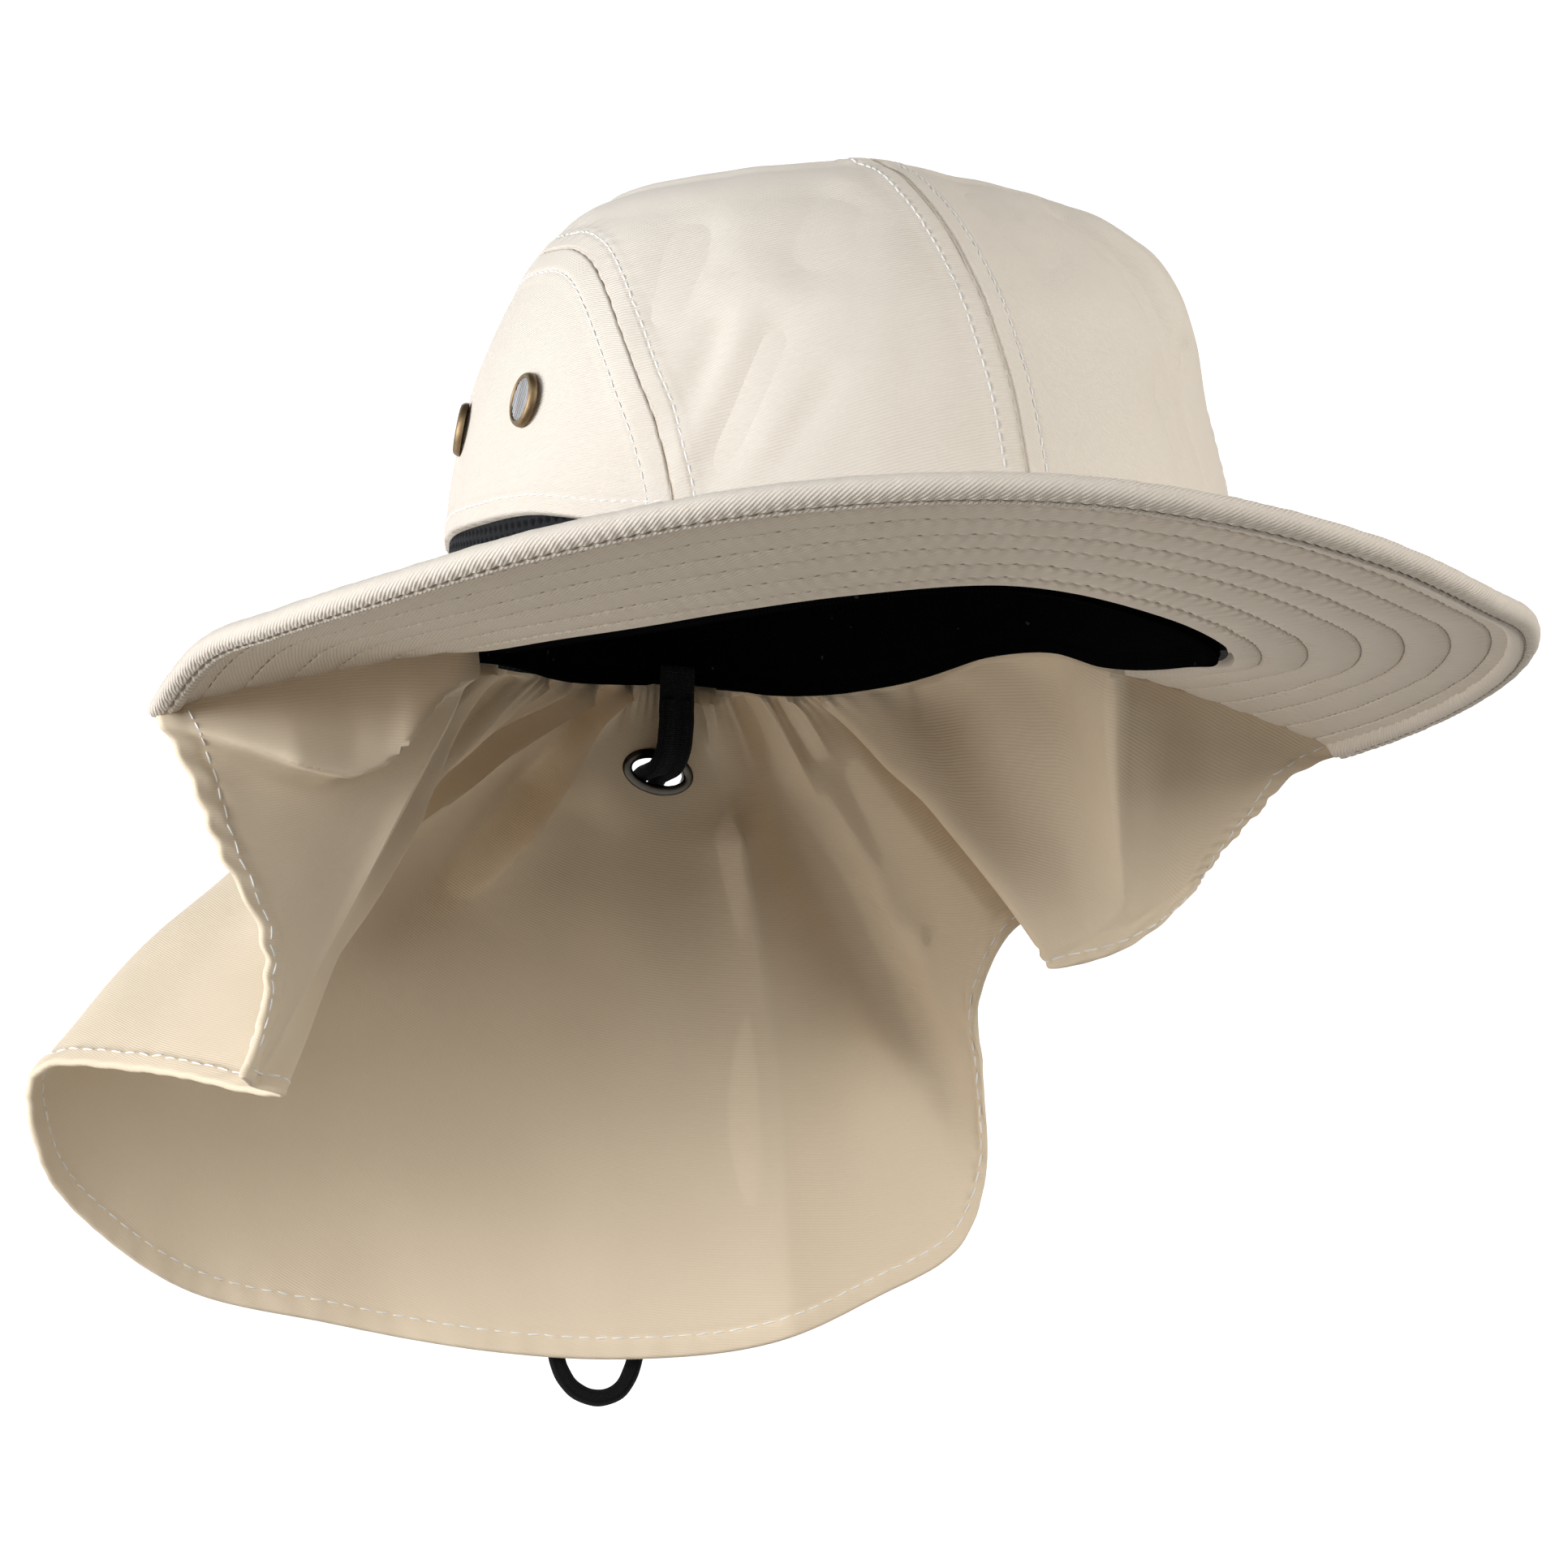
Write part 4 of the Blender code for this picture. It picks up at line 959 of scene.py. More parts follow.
def front_panel(name, side):
    """one front panel, from the centre seam to the side seam, up over the top; side is -1 or 1"""
    across, down = 112, 232
    shift = -SEAM_SHIFT / (HEAD_WIDTH / 2) * side
    seam = side_seam(260)
    foot = polar(SIDE_SEAM[0][0], 1.0)
    below = foot + (seam[0] - foot) * np.linspace(0, 1, 12)[:-1, None]
    seam = np.concatenate([below, seam])
    stop = int(np.argmax(seam[:, 0] < max(shift, 0.0) + 0.0005)) or len(seam) - 1
    seam = resampled(seam[:stop + 1], down)
    seam[-1, 0] = shift
    middle = np.stack([np.full(down, shift), np.linspace(-1, seam[-1, 1], down)], -1)
    share = edge_shares(across, 0.22, 0.062)[:, None, None]
    plan = middle * (1 - share) + seam * share
    start = math.degrees(math.asin(shift))
    end = math.degrees(math.atan2(seam[0, 0], -seam[0, 1]))
    arc = polar(start + (end - start) * share[:, 0, 0], 1.0)
    plan = plan + (arc - plan[:, 0])[:, None] * (1 - np.linspace(0, 1, down)[None, :, None])**4
    plan = plan * (side, 1)
    outer = crown_plan(plan)
    inner = crown_plan(plan, CROWN_CLOTH)
    normals = outward(outer)
    centre = nearest(outer, resampled(outer[0], 400))
    edge = nearest(outer, resampled(outer[-1], 400))
    one, two = seam_relief(centre, CENTRE_STITCH), seam_relief(edge, FRONT_STITCH)
    relief = np.where(np.minimum(centre, edge) < 0.0009, np.minimum(one, two), np.maximum(one, two))
    angle = np.degrees(np.arctan2(plan[..., 0], -plan[..., 1]))
    height = smooth(CROWN_PATH, 1 - np.clip(np.hypot(plan[..., 0], plan[..., 1]), 0, 1))
    folds = sum(fold_height(angle, height, fold, CROWN_SCALE) for fold in CROWN_FOLDS)
    folds = folds * step(0.0, 0.004, np.minimum(centre, edge))
    near = bump_at(edge, 0.0058, 0.0030) + 0.6 * bump_at(centre, 0.0058, 0.0026)
    second = grid_lengths(outer)[1]
    drawn = np.sin(second * 2 * math.pi / 0.0050 + 2 * ripple(outer, 0.02, 11)) * near * 0.00013
    relief = relief + drawn + folds
    outer = outer + normals * (relief + crown_soft(outer))[..., None]
    first, second = grid_lengths(outer)
    uv = turned(np.stack([first * side, second], -1), 12 if side < 0 else -35)
    panel = shell(name, outer, inner, uv, KHAKI, weld=True)
    rows = outer.transpose(1, 0, 2), normals.transpose(1, 0, 2), centre.T
    lines = [crossing(*rows, CENTRE_STITCH)]
    lines.append(crossing(rows[0][:, ::-1], rows[1][:, ::-1], edge.T[:, ::-1], FRONT_STITCH))
    return panel, lines


def back_panel():
    """the back panel, from the mesh band up to the side seams, which meet over the centre back"""
    up = 90
    left = side_seam(150)
    seam = np.concatenate([left, (left * (-1, 1))[-2::-1]])
    angles = np.degrees(np.arctan2(seam[:, 0], -seam[:, 1])) % 360
    low_angles = np.linspace(angles[0], angles[-1], len(seam))
    low = polar(low_angles, plan_reach(band_top(low_angles)))
    low[0], low[-1] = seam[0], seam[-1]
    share = edge_shares(up, 0.26, 0.11)[None, :, None]
    plan = low[:, None] * (1 - share) + seam[:, None] * share
    outer = crown_plan(plan)
    inner = crown_plan(plan, CROWN_CLOTH)
    normals = outward(outer)
    edge = nearest(outer, resampled(outer[:, -1], 500))
    hem = nearest(outer, resampled(outer[:, 0], 500))
    relief = seam_relief(edge, BACK_STITCH)
    fold = 0.00045 * (1 - step(0.0045, 0.0062, hem)) - 0.00030 * bump_at(hem, BAND_STITCH, 0.0007)
    fold = fold - 0.0005 * (1 - step(0, 0.0006, hem))
    relief = np.where(edge < 0.0009, relief, np.maximum(relief, 0) + fold * step(0.001, 0.004, edge))
    dimple = 0
    for _, angle, reach in VENT_PLACES:
        vent = crown_plan(polar(angle, reach))
        far = np.linalg.norm(outer - vent, axis=-1)
        dimple = dimple - 0.0004 * bump_at(far, 0.0068, 0.0022)
    outer = outer + normals * (relief + dimple + crown_soft(outer))[..., None]
    first, second = grid_lengths(outer)
    uv = turned(np.stack([first, second], -1), 20)
    panel = shell("back_panel", outer, inner, uv, KHAKI, weld=True)
    lines = [crossing(outer[:, ::-1], normals[:, ::-1], edge[:, ::-1], BACK_STITCH)]
    lines.append(crossing(outer[3:-3], normals[3:-3], hem[3:-3], BAND_STITCH))
    return panel, lines


def make_crown():
    """three panels with their seams and topstitching"""
    lines = []
    for name, node, side in (("front_panel_right", "crown_front_right", -1),
                             ("front_panel_left", "crown_front_left", 1)):
        panel, rows = front_panel(name, side)
        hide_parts(node)
        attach(panel, "root")
        lines += rows
    panel, rows = back_panel()
    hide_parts("crown_back")
    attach(panel, "root")
    thing = stitches("crown_stitches", lines + rows, THREAD)


# Bands

def make_mesh_band():
    """elastic mesh band with rows of small pits"""
    along, up = 570, 37
    angles = np.linspace(BAND_FRONT_ANGLE, 360 - BAND_FRONT_ANGLE, along)
    tops = band_top(angles) + BAND_TUCK / CROWN_HEIGHT
    heights = tops[:, None] * np.linspace(0, 1, up)[None]
    outer = crown_at(angles[:, None], heights, CROWN_CLOTH * 0.6)
    inner = crown_at(angles[:, None], heights, CROWN_CLOTH + LAYER_GAP + BAND_CLOTH)
    first, second = grid_lengths(outer)
    column, row = first / MESH_PITCH[0], second / MESH_PITCH[1]
    uv = np.stack([column + np.round(row) * 0.5, row], -1)
    cell = np.stack([uv[..., 0] - np.round(uv[..., 0]), uv[..., 1] - np.round(uv[..., 1])], -1)
    pit = bump_at(np.hypot(cell[..., 0], cell[..., 1]), 0, 0.26)
    normals = outward(outer)
    outer = outer - normals * (0.0006 * pit + 0.0004 * (1 - ripple(outer, 0.05, 9)))[..., None]
    band = shell("elastic_mesh", outer, inner, np.stack([column + row * 0.5, row], -1), MESH)
    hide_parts("mesh_band")
    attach(band, "root")


def make_sweatband():
    """sweatband with a turned lower edge, wavy and pleated where the elastic draws it in"""
    around, up = 440, 30
    angles = -180 + np.arange(around) * 360 / around
    rows = 1 - (1 - np.linspace(0, 1, up))**1.6
    heights = SWEATBAND_HEIGHT / CROWN_HEIGHT * rows
    inset = CROWN_CLOTH + 2 * LAYER_GAP + BAND_CLOTH
    outer = crown_at(angles[:, None], heights[None], inset)
    inner = crown_at(angles[:, None], heights[None], inset + SWEATBAND_CLOTH)
    hang = smooth(SWEATBAND_EDGE, angles) / 1000
    at_back = step(60, 100, np.abs(angles))[:, None]
    length = np.radians(angles) * SWEATBAND_REACH
    pleat = (np.sin(length * 2 * math.pi / 0.011 + 1.5 * np.sin(length * 60)) * 0.5 + 0.5)[:, None]
    low = (1 - rows)[None]
    for grid in (outer, inner):
        grid[..., 2] += hang[:, None] * low
        push = 0.0011 * at_back * pleat * np.sin(math.pi * rows)[None]
        push = push + 0.0012 * at_back * low * (0.5 + 0.5 * np.sin(length * 2 * math.pi / 0.037))[:, None]
        grid[..., :2] *= (1 - push / SWEATBAND_REACH)[..., None]
    roll = 0.0004 * bump_at(rows, 0, 0.14) - 0.0004 * bump_at(rows, 0.16, 0.05)
    inner[..., :2] *= (1 - roll / SWEATBAND_REACH)[None, :, None]
    first, second = grid_lengths(inner)
    band = shell("sweatband_cloth", outer, inner, np.stack([first, second], -1), KNIT, closed=True)
    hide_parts("sweatband")
    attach(band, "root")


# Brim

def brim_shares():
    """shares of the brim's width, closer together at each stitched row"""
    rows = (*BRIM_ROWS, BRIM_EDGE_ROW)
    near = [row + offset for row in rows for offset in np.linspace(-0.015, 0.015, 7)]
    keep = [s for s in np.linspace(0, BRIM_STOP, 22) if min(abs(s - row) for row in rows) > 0.020]
    shares = np.unique(np.round(np.concatenate([near, keep, [0.0, BRIM_STOP]]), 5))
    return shares[(shares >= 0) & (shares <= BRIM_STOP)]


def make_brim():
    """stiff brim with rows of stitching that dimple both faces"""
    along = 490
    angles = np.linspace(-BRIM_END_ANGLE, BRIM_END_ANGLE, along)
    shares = brim_shares()
    middle = brim_at(angles[:, None], shares[None])
    first, second = grid_lengths(middle)
    rows = np.array((*BRIM_ROWS, BRIM_EDGE_ROW))
    near_row = np.min(np.abs(shares[:, None] - rows[None]), axis=1)
    pucker = bump_at(near_row, 0.010, 0.014)[None]
    wave = np.sin(first * 2 * math.pi / 0.0039 + 50 * shares[None]) + 0.8 * ripple(middle, 0.009, 21)
    faces = []
    for side in (1, -1):
        half = brim_thickness(shares)[None] + pucker * wave * 0.00022
        half = half + 0.00016 * ripple(middle, 0.03, 27 + side)
        half[:, -1] = 0.0001
        grid = middle.copy()
        grid[..., 2] += side * half
        faces.append(grid)
    outer, inner = faces
    thing = shell("brim_cloth", outer, inner, turned(np.stack([first, second], -1), 20), BRIM_KHAKI, sharp=60)
    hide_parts("brim")
    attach(thing, "root")
    lines = []
    for grid, up in ((inner, -1), (outer, 1)):
        for row in BRIM_ROWS:
            k = int(np.argmin(np.abs(shares - row)))
            lines.append((grid[4:-4, k], upright(along - 8, up)))
    # the rows' dark thread colour is painted shade of their stitched grooves
    thing = stitches("brim_stitches", lines, SHADE_DARK_BRIM_THREAD, 0.0029, 0.0027, 0.00028, 4, 7)
    make_rim()


def make_rim():
    """rolled rim with its edge stitch, drawn in at each stitch"""
    along = 980
    angles = np.linspace(-BRIM_END_ANGLE, BRIM_END_ANGLE, along)
    close = RIM_NOTCH + np.linspace(-0.30, 0.30, 9)
    wide = np.linspace(0, 2 * math.pi, 30, endpoint=False)
    turn = np.unique(np.concatenate([close, wide[np.abs(wide - RIM_NOTCH) > 0.38]]))
    sides = len(turn)
    middle = brim_at(angles, 1 - RIM_REACH / BRIM_WIDTH)
    length = path_lengths(middle)
    uneven = ripple(np.stack([length, length * 0], -1), 0.009, 23)
    drawn = np.cos(length * 2 * math.pi / RIM_STITCH) * 0.5 + 0.5
    gap = turn - RIM_NOTCH
    size = 1 - 0.22 * bump_at(gap, 0, 0.12)[None] - 0.11 * drawn[:, None] * bump_at(gap, -0.32, 0.34)[None]
    size = size - 0.07 * (uneven * 0.5 + 0.5)[:, None] * bump_at(gap, -0.5, 0.6)[None]
    size = size + 0.025 * uneven[:, None] + 0.02 * ripple(middle, 0.0045, 29)[:, None]
    out = RIM_REACH + RIM_REACH * np.cos(turn)[None] * size
    share = 1 - out / BRIM_WIDTH
    points = brim_at(angles[:, None], share)
    points[..., 2] += RIM_ROLL * np.sin(turn)[None] * size - RIM_DROP
    faces = tube_faces(along, sides)
    around = np.broadcast_to(turn * RIM_ROLL, size.shape)
    uv = turned(np.stack([np.broadcast_to(length[:, None], size.shape), around], -1), -38)
    thing = built("brim_rim", points.reshape(-1, 3), faces, RIM_KHAKI, uv.reshape(-1, 2), 60, weld=True)
    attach(thing, "root")
    lines = []
    for side, spot in ((-1, RIM_NOTCH), (1, 0.9)):
        reach = 0.82 if side < 0 else 1.0
        line = brim_at(angles, 1 - RIM_REACH * (1 + math.cos(spot) * reach) / BRIM_WIDTH)
        line[:, 2] += RIM_ROLL * math.sin(spot) * reach - RIM_DROP
        lines.append((line[6:-6], upright(along - 12, side)))
    # the edge stitch's dark thread colour is painted shade of the groove under the rolled rim
    thing = stitches("rim_stitches", lines, SHADE_DARK_RIM_THREAD, RIM_STITCH, 0.0027, 0.00022, 5, 8)


# Flap

def grommet_frame():
    """place of the grommet: X along the flap, Y up it, Z out of its outer face"""
    here = Vector(flap_at(GROMMET_ALONG, GROMMET_DOWN))
    after, before = (Vector(flap_at(GROMMET_ALONG + way, GROMMET_DOWN)) for way in (SLOPE_STEP, -SLOPE_STEP))
    ahead = after - before
    above = here - Vector(flap_at(GROMMET_ALONG, GROMMET_DOWN + 4 * SLOPE_STEP))
    out = ahead.cross(above).normalized()
    side = ahead.normalized()
    up = out.cross(side)
    place = Matrix((side, up, out)).transposed().to_4x4()
    return Matrix.Translation(here) @ place @ Matrix.Rotation(math.radians(GROMMET_TILT), 4, "Z")


def fold_height(along, down, fold, scale):
    """height of one fold; scale turns the two places into metres"""
    a0, d0, a1, d1, width, height, sharp = fold
    scale = np.array(scale)
    start, end = np.array([a0, d0]) * scale, np.array([a1, d1]) * scale
    run = end - start
    length = np.linalg.norm(run)
    way = run / length
    x, y = along * scale[0] - start[0], down * scale[1] - start[1]
    t = (x * way[0] + y * way[1]) / length
    off = (x * way[1] - y * way[0]) / (width / 1000)
    round_top = np.exp(-off**2)
    crease = np.exp(-np.abs(off) * 1.4)
    taper = step(-0.25, 0.05, t) * (1 - step(0.55, 1.0, t))
    return height / 1000 * taper * (round_top * (1 - sharp) + crease * sharp)


def flap_rows(count, length):
    """places down the flap, closer together at the gathers and at the hem"""
    hem = 1 - np.array(HEM_STEPS) / length
    rest = np.linspace(0, 1, count - len(hem) + 1)[:-1]
    rest = rest**1.12 * (hem[-1] - 0.006)
    return np.concatenate([rest, hem[::-1]])


def flap_columns(count, length):
    """places along the flap, closer together at its free edges"""
    edge = np.array(HEM_STEPS) / length
    rest = np.linspace(edge[-1], 1 - edge[-1], count - 2 * len(edge) + 2)[1:-1]
    return np.concatenate([edge, rest, 1 - edge[::-1]])


def bartack(angle, share, turn):
    """short dense bar of stitches under the brim's end, as lines with normals"""
    here = brim_at(angle, share)
    way = unit(brim_at(angle, share + SLOPE_STEP) - here)
    side = np.cross(way, (0, 0, 1.0))
    side = side * math.cos(turn) + way * math.sin(turn)
    down = np.array((0, 0, -1.0))
    lines = []
    for k in range(7):
        middle = here + way * (k - 3) * 0.00048 + down * 0.0021
        lines.append((np.stack([middle - side * 0.00218, middle + side * 0.00218]), np.stack([down, down])))
    return lines


def cut_hole(thing, place):
    """cut the grommet's oval hole through the flap"""
    hole = bpy.data.meshes.new("hole_cutter")
    ring = bmesh.new()
    wide, high = (half + 0.0008 for half in GROMMET_HOLE)
    sides = 40
    turn = [2 * math.pi * k / sides for k in range(sides)]
    plan = [(wide * math.cos(t), high * math.sin(t)) for t in turn]
    front, back = ([ring.verts.new((x, y, z)) for x, y in plan] for z in (0.01, -0.01))
    ring.faces.new(front)
    ring.faces.new(back[::-1])
    for k in range(sides):
        n = (k + 1) % sides
        ring.faces.new((front[k], back[k], back[n], front[n]))
    bmesh.ops.recalc_face_normals(ring, faces=ring.faces)
    ring.to_mesh(hole)
    ring.free()
    cutter = bpy.data.objects.new("hole_cutter", hole)
    bpy.context.scene.collection.objects.link(cutter)
    cutter.matrix_world = place
    cut = thing.modifiers.new("hole", "BOOLEAN")
    cut.operation = "DIFFERENCE"
    cut.solver = "EXACT"
    cut.object = cutter
    bpy.context.view_layer.update()
    ready = bpy.data.meshes.new_from_object(thing.evaluated_get(bpy.context.evaluated_depsgraph_get()))
    thing.modifiers.clear()
    thing.data = ready
    bpy.data.objects.remove(cutter)


def make_flap():
    """neck flap with gathers, folds, a turned hem and the hole for the grommet"""
    count, deep = 395, 118
    along = flap_columns(count, 0.55)[:, None]
    down = flap_rows(deep, 0.155)[None]
    grid = flap_at(along, down)
    along, down = np.broadcast_arrays(along, down)
    first, second = grid_lengths(grid)
    total = second[:, -1:]
    bottom = total - second
    sides = np.minimum(first, first[-1:] - first)
    edge = np.minimum(bottom, sides)
    normals = grid_normals(grid)
    normals = normals * np.sign((normals * grid)[..., 1][180:220].mean())
    push = sum(fold_height(along, down, fold, FLAP_SCALE) for fold in FLAP_FOLDS)
    line = np.interp(along, [row[0] for row in SWAG_FOLD], [row[1] for row in SWAG_FOLD])
    line = np.maximum(line, 0.012)
    sag = np.where(down < line, step(0, 1, down / line)**0.8, np.exp(-((down - line) / 0.030)**2))
    depth = SWAG_DEPTH * np.clip(line / 0.16, 0, 1) * (1 - step(0.085, 0.105, along))
    push = push - depth * sag
    uneven = ripple(grid, 0.055, 31) * 0.0010 + ripple(grid * (1, 1, 0.35), 0.022, 33) * 0.00035
    push = push + uneven * step(0.0, 0.25, down)
    pucker = np.sin((first + bottom) * 2 * math.pi / 0.0088 + 2.5 * ripple(grid, 0.03, 35))
    push = push + 0.00024 * pucker * (1 - step(0.004, 0.0090, edge))
    pleat = np.sin(along * 2 * math.pi * 88 + 3 * ripple(grid, 0.03, 37))
    on_band = step(0.10, 0.14, along) * (1 - step(0.80, 0.86, along))
    push = push + 0.00035 * pleat * on_band * np.exp(-down / 0.06)
    push = push * step(0, 0.012, down)
    along_way = unit(np.gradient(grid, axis=0))
    slide = -0.0058 * bump_at(down, 0.36, 0.22) * (1 - step(0, 0.12, along))
    slide = slide - 0.0035 * bump_at(down, 0.22, 0.16) * step(0.92, 1.0, along)
    wave = np.sin(second * 2 * math.pi / 0.0085 + 2 * ripple(grid, 0.03, 39))
    slide = slide + 0.00045 * wave * (1 - step(0, 0.010, sides))
    seam = smooth(FLAP_SECTIONS, along, 1)
    on_seam = step(SEAM_BRIM_RIGHT, SEAM_BRIM_RIGHT + 0.015, seam)
    on_seam = on_seam * (1 - step(SEAM_BRIM_LEFT - 0.015, SEAM_BRIM_LEFT, seam))
    grid = grid + normals * push[..., None] + along_way * slide[..., None]
    grid[..., 2] -= 0.4 * depth * sag * step(0, 0.012, down)
    grid[:, 0, 2] += 0.0005 + 0.0016 * on_seam[:, 0]
    place = grommet_frame()
    side, up, out = (np.array(place.col[k][:3]) for k in range(3))
    local = grid - np.array(place.translation)
    reach = np.hypot(local @ side / GROMMET_SEAT[0], local @ up / GROMMET_SEAT[1])
    hold = step(0, 1, np.clip(1.7 - reach, 0, 1))
    grid = grid - out * (hold * (local @ out))[..., None]
    hem = 1 - step(0.0050, 0.0060, edge)
    half = FLAP_CLOTH / 2 + 0.00050 * hem - 0.00040 * bump_at(edge, HEM_STITCH, 0.0008)
    half = half * np.sqrt(np.clip(1 - (1 - np.clip(edge / 0.0009, 0, 1))**2, 0.02, 1))
    outer = grid + normals * half[..., None]
    inner = grid - normals * half[..., None]
    uv = turned(np.stack([second, first], -1), 84)
    thing = shell("flap_cloth", outer, inner, uv, FLAP_KHAKI, sharp=50)
    cut_hole(thing, place)
    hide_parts("flap")
    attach(thing, "root")
    lines = []
    for face, sign in ((inner, -1), (outer, 1)):
        k = int(np.argmin(np.abs(bottom[count // 2] - HEM_STITCH)))
        lines.append((face[12:-12, k], normals[12:-12, k] * sign))
        for i in (8, count - 9):
            lines.append((face[i, 2:-10], normals[i, 2:-10] * sign))
    for angle, share, turn in BARTACKS:
        lines += bartack(angle, share, turn)
    thread = stitches("flap_stitches", lines, THREAD, 0.0043, 0.0035, 0.00024, 5, 9)
    return place


def make_grommet(place):
    """oval grommet with a rolled flange on each face of the flap"""
    profile = []
    seat = FLAP_CLOTH / 2
    middle = GROMMET_FLANGE / 2
    for k in range(15):
        turn = math.pi * k / 14
        profile.append((middle - middle * math.cos(turn), seat + 0.0009 * math.sin(turn)**0.8))
    profile += [(width, -height) for width, height in profile[::-1]]
    ring = lathed("grommet_ring", place, profile, 72, GUNMETAL, 60, GROMMET_HOLE)
    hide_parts("grommet")
    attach(ring, "root")


# Vents

def vent_place(angle, reach):
    """place of a vent: Z out of the crown"""
    plan = polar(angle, reach)
    here = Vector(crown_plan(plan))
    east = Vector(crown_plan(plan + (0, SLOPE_STEP))) - here
    north = Vector(crown_plan(plan * (1 - SLOPE_STEP))) - here
    out = east.cross(north).normalized()
    if out.dot(Vector((here.x, here.y, 0))) < 0:
        out = -out
    out = Matrix.Rotation(math.radians(math.copysign(VENT_TURN, angle)), 3, "Z") @ out
    here = here + out * GAP
    return Matrix.Translation(here) @ out.to_track_quat("Z", "Y").to_matrix().to_4x4()


def make_vents():
    """four air vents: a turned rim with a rounded lip, round a screen of fine bars"""
    profile = ((0.0049, -0.0006), (0.0049, 0.0007), (0.00500, 0.00098), (0.00520, 0.00116), (0.00548, 0.00120),
               (0.00580, 0.00106), (0.00610, 0.00076), (0.00630, 0.00036), (0.0064, -0.0001), (0.0064, -0.0006))
    for name, angle, reach in VENT_PLACES:
        place = vent_place(angle, reach)
        rim = lathed(name + "_rim", place, profile, 48, BRONZE, 50)
        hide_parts(name)
        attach(rim, "root")
        make_screen(name, place)


def make_screen(name, place):
    """recessed plate with raised parallel bars, cut to a circle"""
    radius, pitch = 0.00495, VENT_PITCH
    across = np.linspace(-radius, radius, 141)
    points, faces, weave = [], [], []
    tilt = math.radians(-14)
    for x in across:
        reach = math.sqrt(max(radius**2 - x**2, 0))
        wave = math.cos(2 * math.pi * x / pitch)
        height = 0.00055 + 0.00028 * max(-0.6, min(0.8, wave * 1.6))
        for level in (height, -0.0004):
            for y in (-reach, 0.0, reach):
                px, py = x * math.cos(tilt) - y * math.sin(tilt), x * math.sin(tilt) + y * math.cos(tilt)
                points.append(place @ Vector((px, py, level)))
                weave.append((x, y))
    count = len(across)
    for k in range(count - 1):
        a, b = k * 6, (k + 1) * 6
        faces += [[a, b, b + 1, a + 1], [a + 1, b + 1, b + 2, a + 2]]
        faces += [[a + 3, a + 4, b + 4, b + 3], [a + 4, a + 5, b + 5, b + 4]]
        faces += [[a, a + 3, b + 3, b], [a + 2, b + 2, b + 5, a + 5]]
    faces += [[0, 1, 2, 5, 4, 3], [count * 6 - 6 + m for m in (3, 4, 5, 2, 1, 0)]]
    screen = built(name + "_screen", points, faces, STEEL, weave, 30)
    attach(screen, "root")


# Drawcord

def smooth_route(points, count):
    """count points on a smooth curve through a route"""
    points = np.array(points)
    path = path_lengths(points)
    fine = np.linspace(0, path[-1], count * 8)
    line = np.stack([smooth(tuple(zip(path, points[:, k])), fine) for k in range(3)], -1)
    return resampled(line, count)


def braid(length, turn):
    """radius factor of the cord's crossing strands"""
    along = length * 2 * math.pi / 0.0022
    return 1 + 0.035 * np.sin(along + 3 * turn) * np.sin(along - 3 * turn)


def make_cord():
    """drawcord: a woven tube along its route, with its lock"""
    path = smooth_route(DRAWCORD_ROUTE, 420)
    cord = tube("woven_drawcord", path, CORD_DIAMETER / 2, 18, CORD, braid)
    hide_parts("drawcord")
    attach(cord, "root")
    make_tape()
    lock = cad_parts["cord_lock"]
    lock.data.materials.clear()
    lock.data.materials.append(PLASTIC)


def make_tape():
    """flat braid that joins the two strands from the sweatband to the grommet"""
    path = smooth_route([(TAPE_SIDE, y, z) for y, z in TAPE_ROUTE], TAPE_ROWS)
    across = np.linspace(-1, 1, 17)
    half = TAPE_HALF[1] * np.sqrt(np.maximum(1 - (across * 0.985)**4, 0.02))
    way = unit(np.gradient(path, axis=0))
    out = np.stack([np.zeros(len(path)), way[:, 2], -way[:, 1]], -1)
    middle = path[:, None] + np.array((1.0, 0, 0)) * (across * TAPE_HALF[0])[None, :, None]
    far = np.minimum(np.arange(TAPE_ROWS), np.arange(TAPE_ROWS)[::-1])
    ends = np.where(far < 4, np.sqrt(np.clip(1 - (1 - far / 4)**2, 0.05, 1)), 1.0)
    size = (half[None] * ends[:, None])[..., None] * out[:, None]
    uv = np.stack(grid_lengths(middle)[::-1], -1)
    tape = shell("cord_tape", middle + size, middle - size, uv, CORD)
    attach(tape, "root")


# Stage, lights and camera

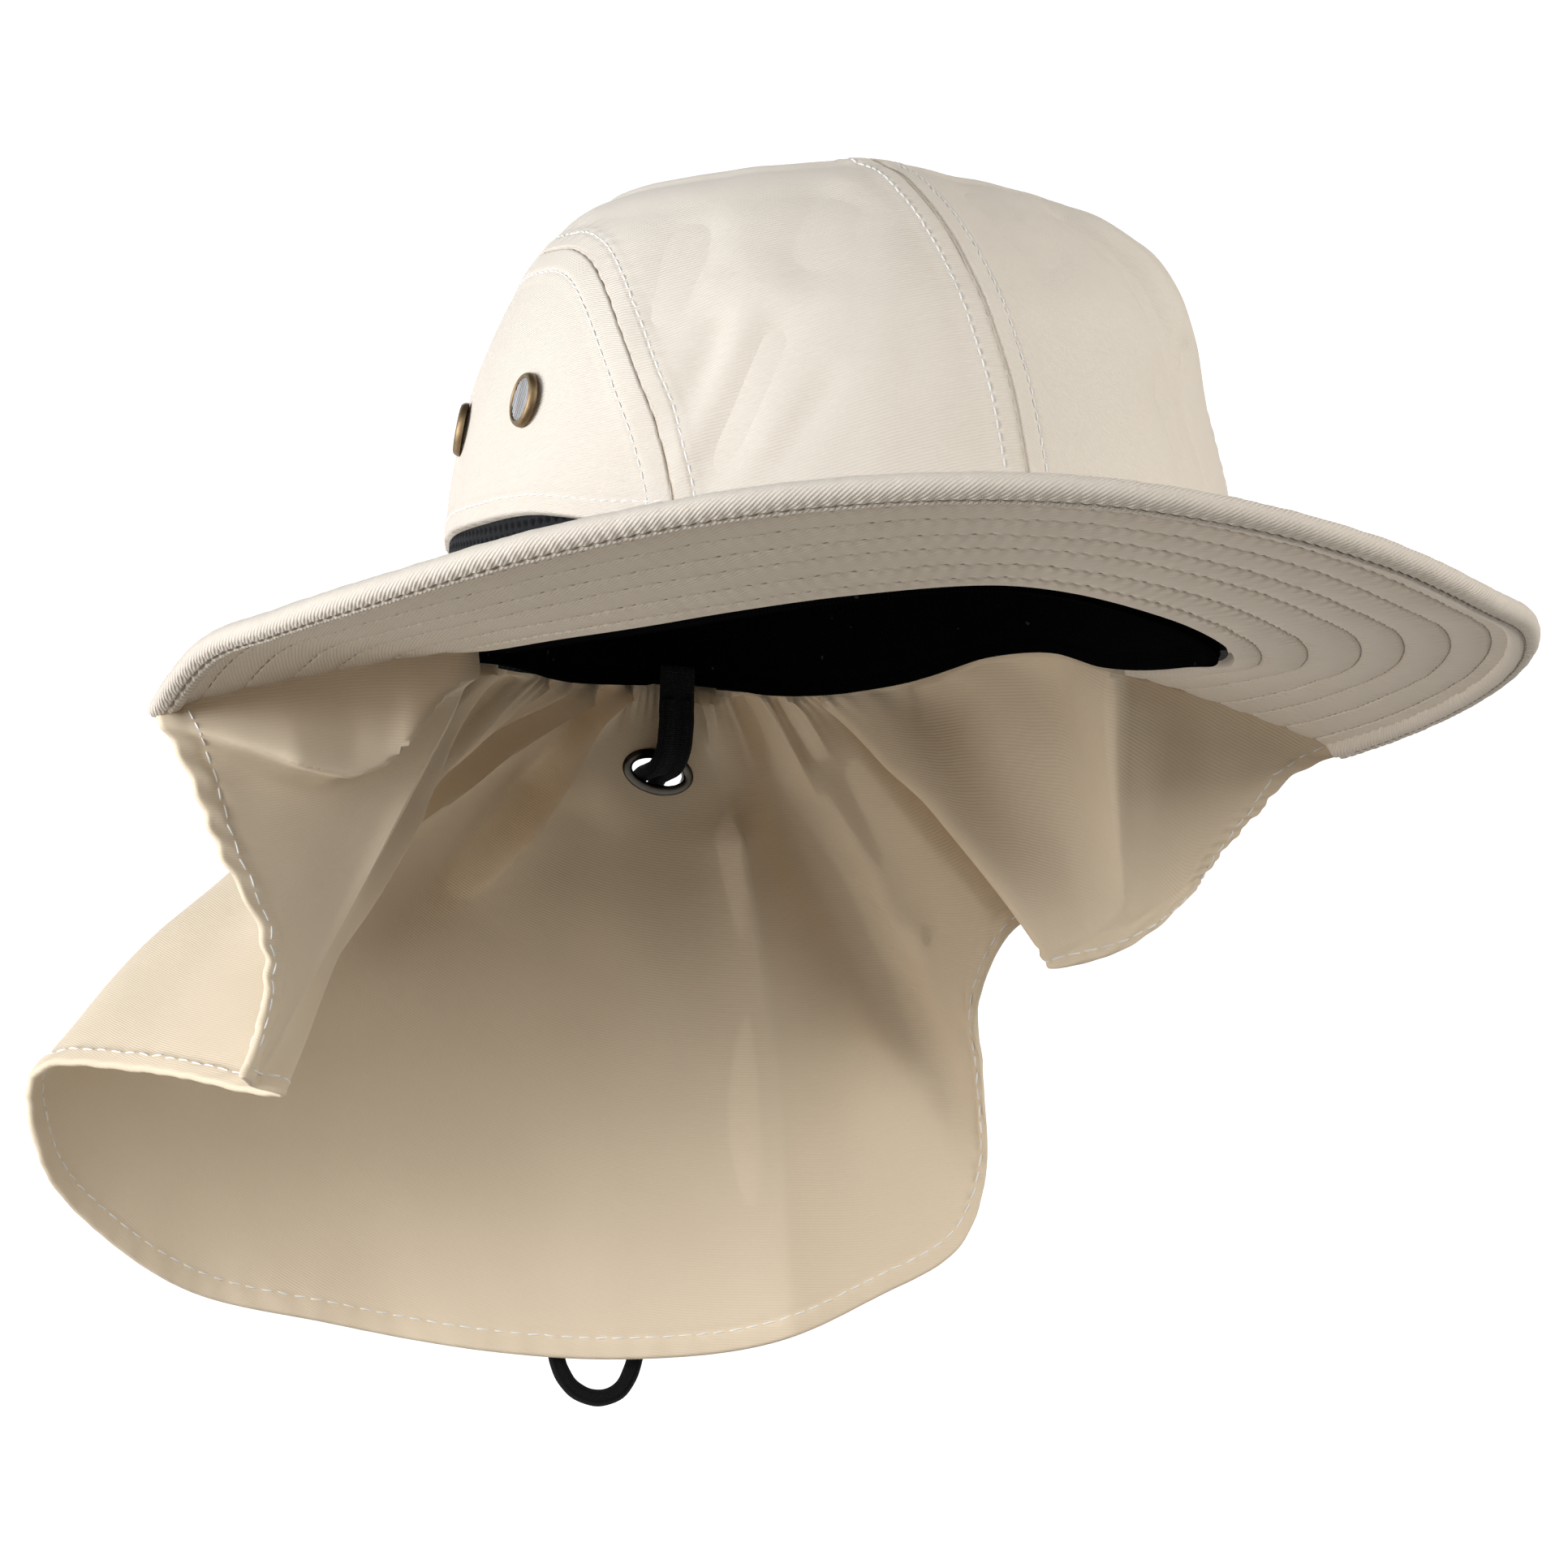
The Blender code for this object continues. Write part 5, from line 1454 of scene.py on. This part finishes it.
def make_stage():
    """plain pale floor that turns up into a round backdrop, well below and behind the hat"""
    profile = [(FLOOR_REACH, FLOOR_HEIGHT)]
    for k in range(1, 13):
        turn = math.pi / 2 * k / 12
        rise = FLOOR_CURVE * (1 - math.cos(turn))
        profile.append((FLOOR_REACH + FLOOR_CURVE * math.sin(turn), FLOOR_HEIGHT + rise))
    profile.append((FLOOR_REACH + FLOOR_CURVE, FLOOR_HEIGHT + BACKDROP_HEIGHT))
    sides = 96
    points, faces = [(0.0, 0.0, FLOOR_HEIGHT)], []
    for radius, height in profile:
        for k in range(sides):
            turn = 2 * math.pi * k / sides
            points.append((radius * math.cos(turn), radius * math.sin(turn), height))
    for k in range(sides):
        n = (k + 1) % sides
        faces.append([0, 1 + k, 1 + n])
        for m in range(len(profile) - 1):
            a, b = 1 + m * sides, 1 + (m + 1) * sides
            faces.append([a + k, b + k, b + n, a + n])
    finish = stage_material("pale_backdrop", (0.90, 0.90, 0.89))
    stage = built("studio_backdrop", points, faces, finish, sharp=80)
    stage.visible_diffuse = False


def area_light(name, place, target, size, power, colour):
    """a square soft light aimed at a point"""
    data = bpy.data.lights.new(name, "AREA")
    data.shape = "SQUARE"
    data.size = size
    data.energy = power
    data.color = colour
    lamp = bpy.data.objects.new(name, data)
    lamp.location = place
    way = Vector(target) - Vector(place)
    lamp.rotation_euler = way.to_track_quat("-Z", "Y").to_euler()
    bpy.context.scene.collection.objects.link(lamp)


def make_lights():
    """soft studio lights all round, strongest from the left, and a weak even fill"""
    world = bpy.data.worlds.new("studio")
    bpy.context.scene.world = world
    world.use_nodes = True
    sky = world.node_tree.nodes["Background"]
    sky.inputs["Color"].default_value = (1.0, 1.0, 1.0, 1.0)
    sky.inputs["Strength"].default_value = FILL_STRENGTH
    for name, turn, lift, far, size, power, colour in LIGHTS:
        a, e = math.radians(turn), math.radians(lift)
        place = far * np.array((math.sin(a) * math.cos(e), -math.cos(a) * math.cos(e), math.sin(e)))
        area_light(name, tuple(place), AIM, size, power, colour)


def make_camera():
    """the camera at the photo's angle"""
    turn, tilt = math.radians(CAMERA_AZIMUTH), math.radians(CAMERA_ELEVATION)
    back = Vector((math.sin(turn) * math.cos(tilt), -math.cos(turn) * math.cos(tilt), math.sin(tilt)))
    data = bpy.data.cameras.new("camera")
    data.sensor_width = 36
    data.lens = CAMERA_LENS
    data.clip_end = 50
    camera = bpy.data.objects.new("camera", data)
    camera.location = Vector(CAMERA_TARGET) + back * CAMERA_DISTANCE
    camera.rotation_euler = (-back).to_track_quat("-Z", "Y").to_euler()
    bpy.context.scene.collection.objects.link(camera)
    bpy.context.scene.camera = camera


make_camera()
make_cord()
make_crown()
make_mesh_band()
make_sweatband()
make_brim()
make_grommet(make_flap())
make_vents()
make_stage()
make_lights()
bpy.context.scene.view_settings.view_transform = "Standard"
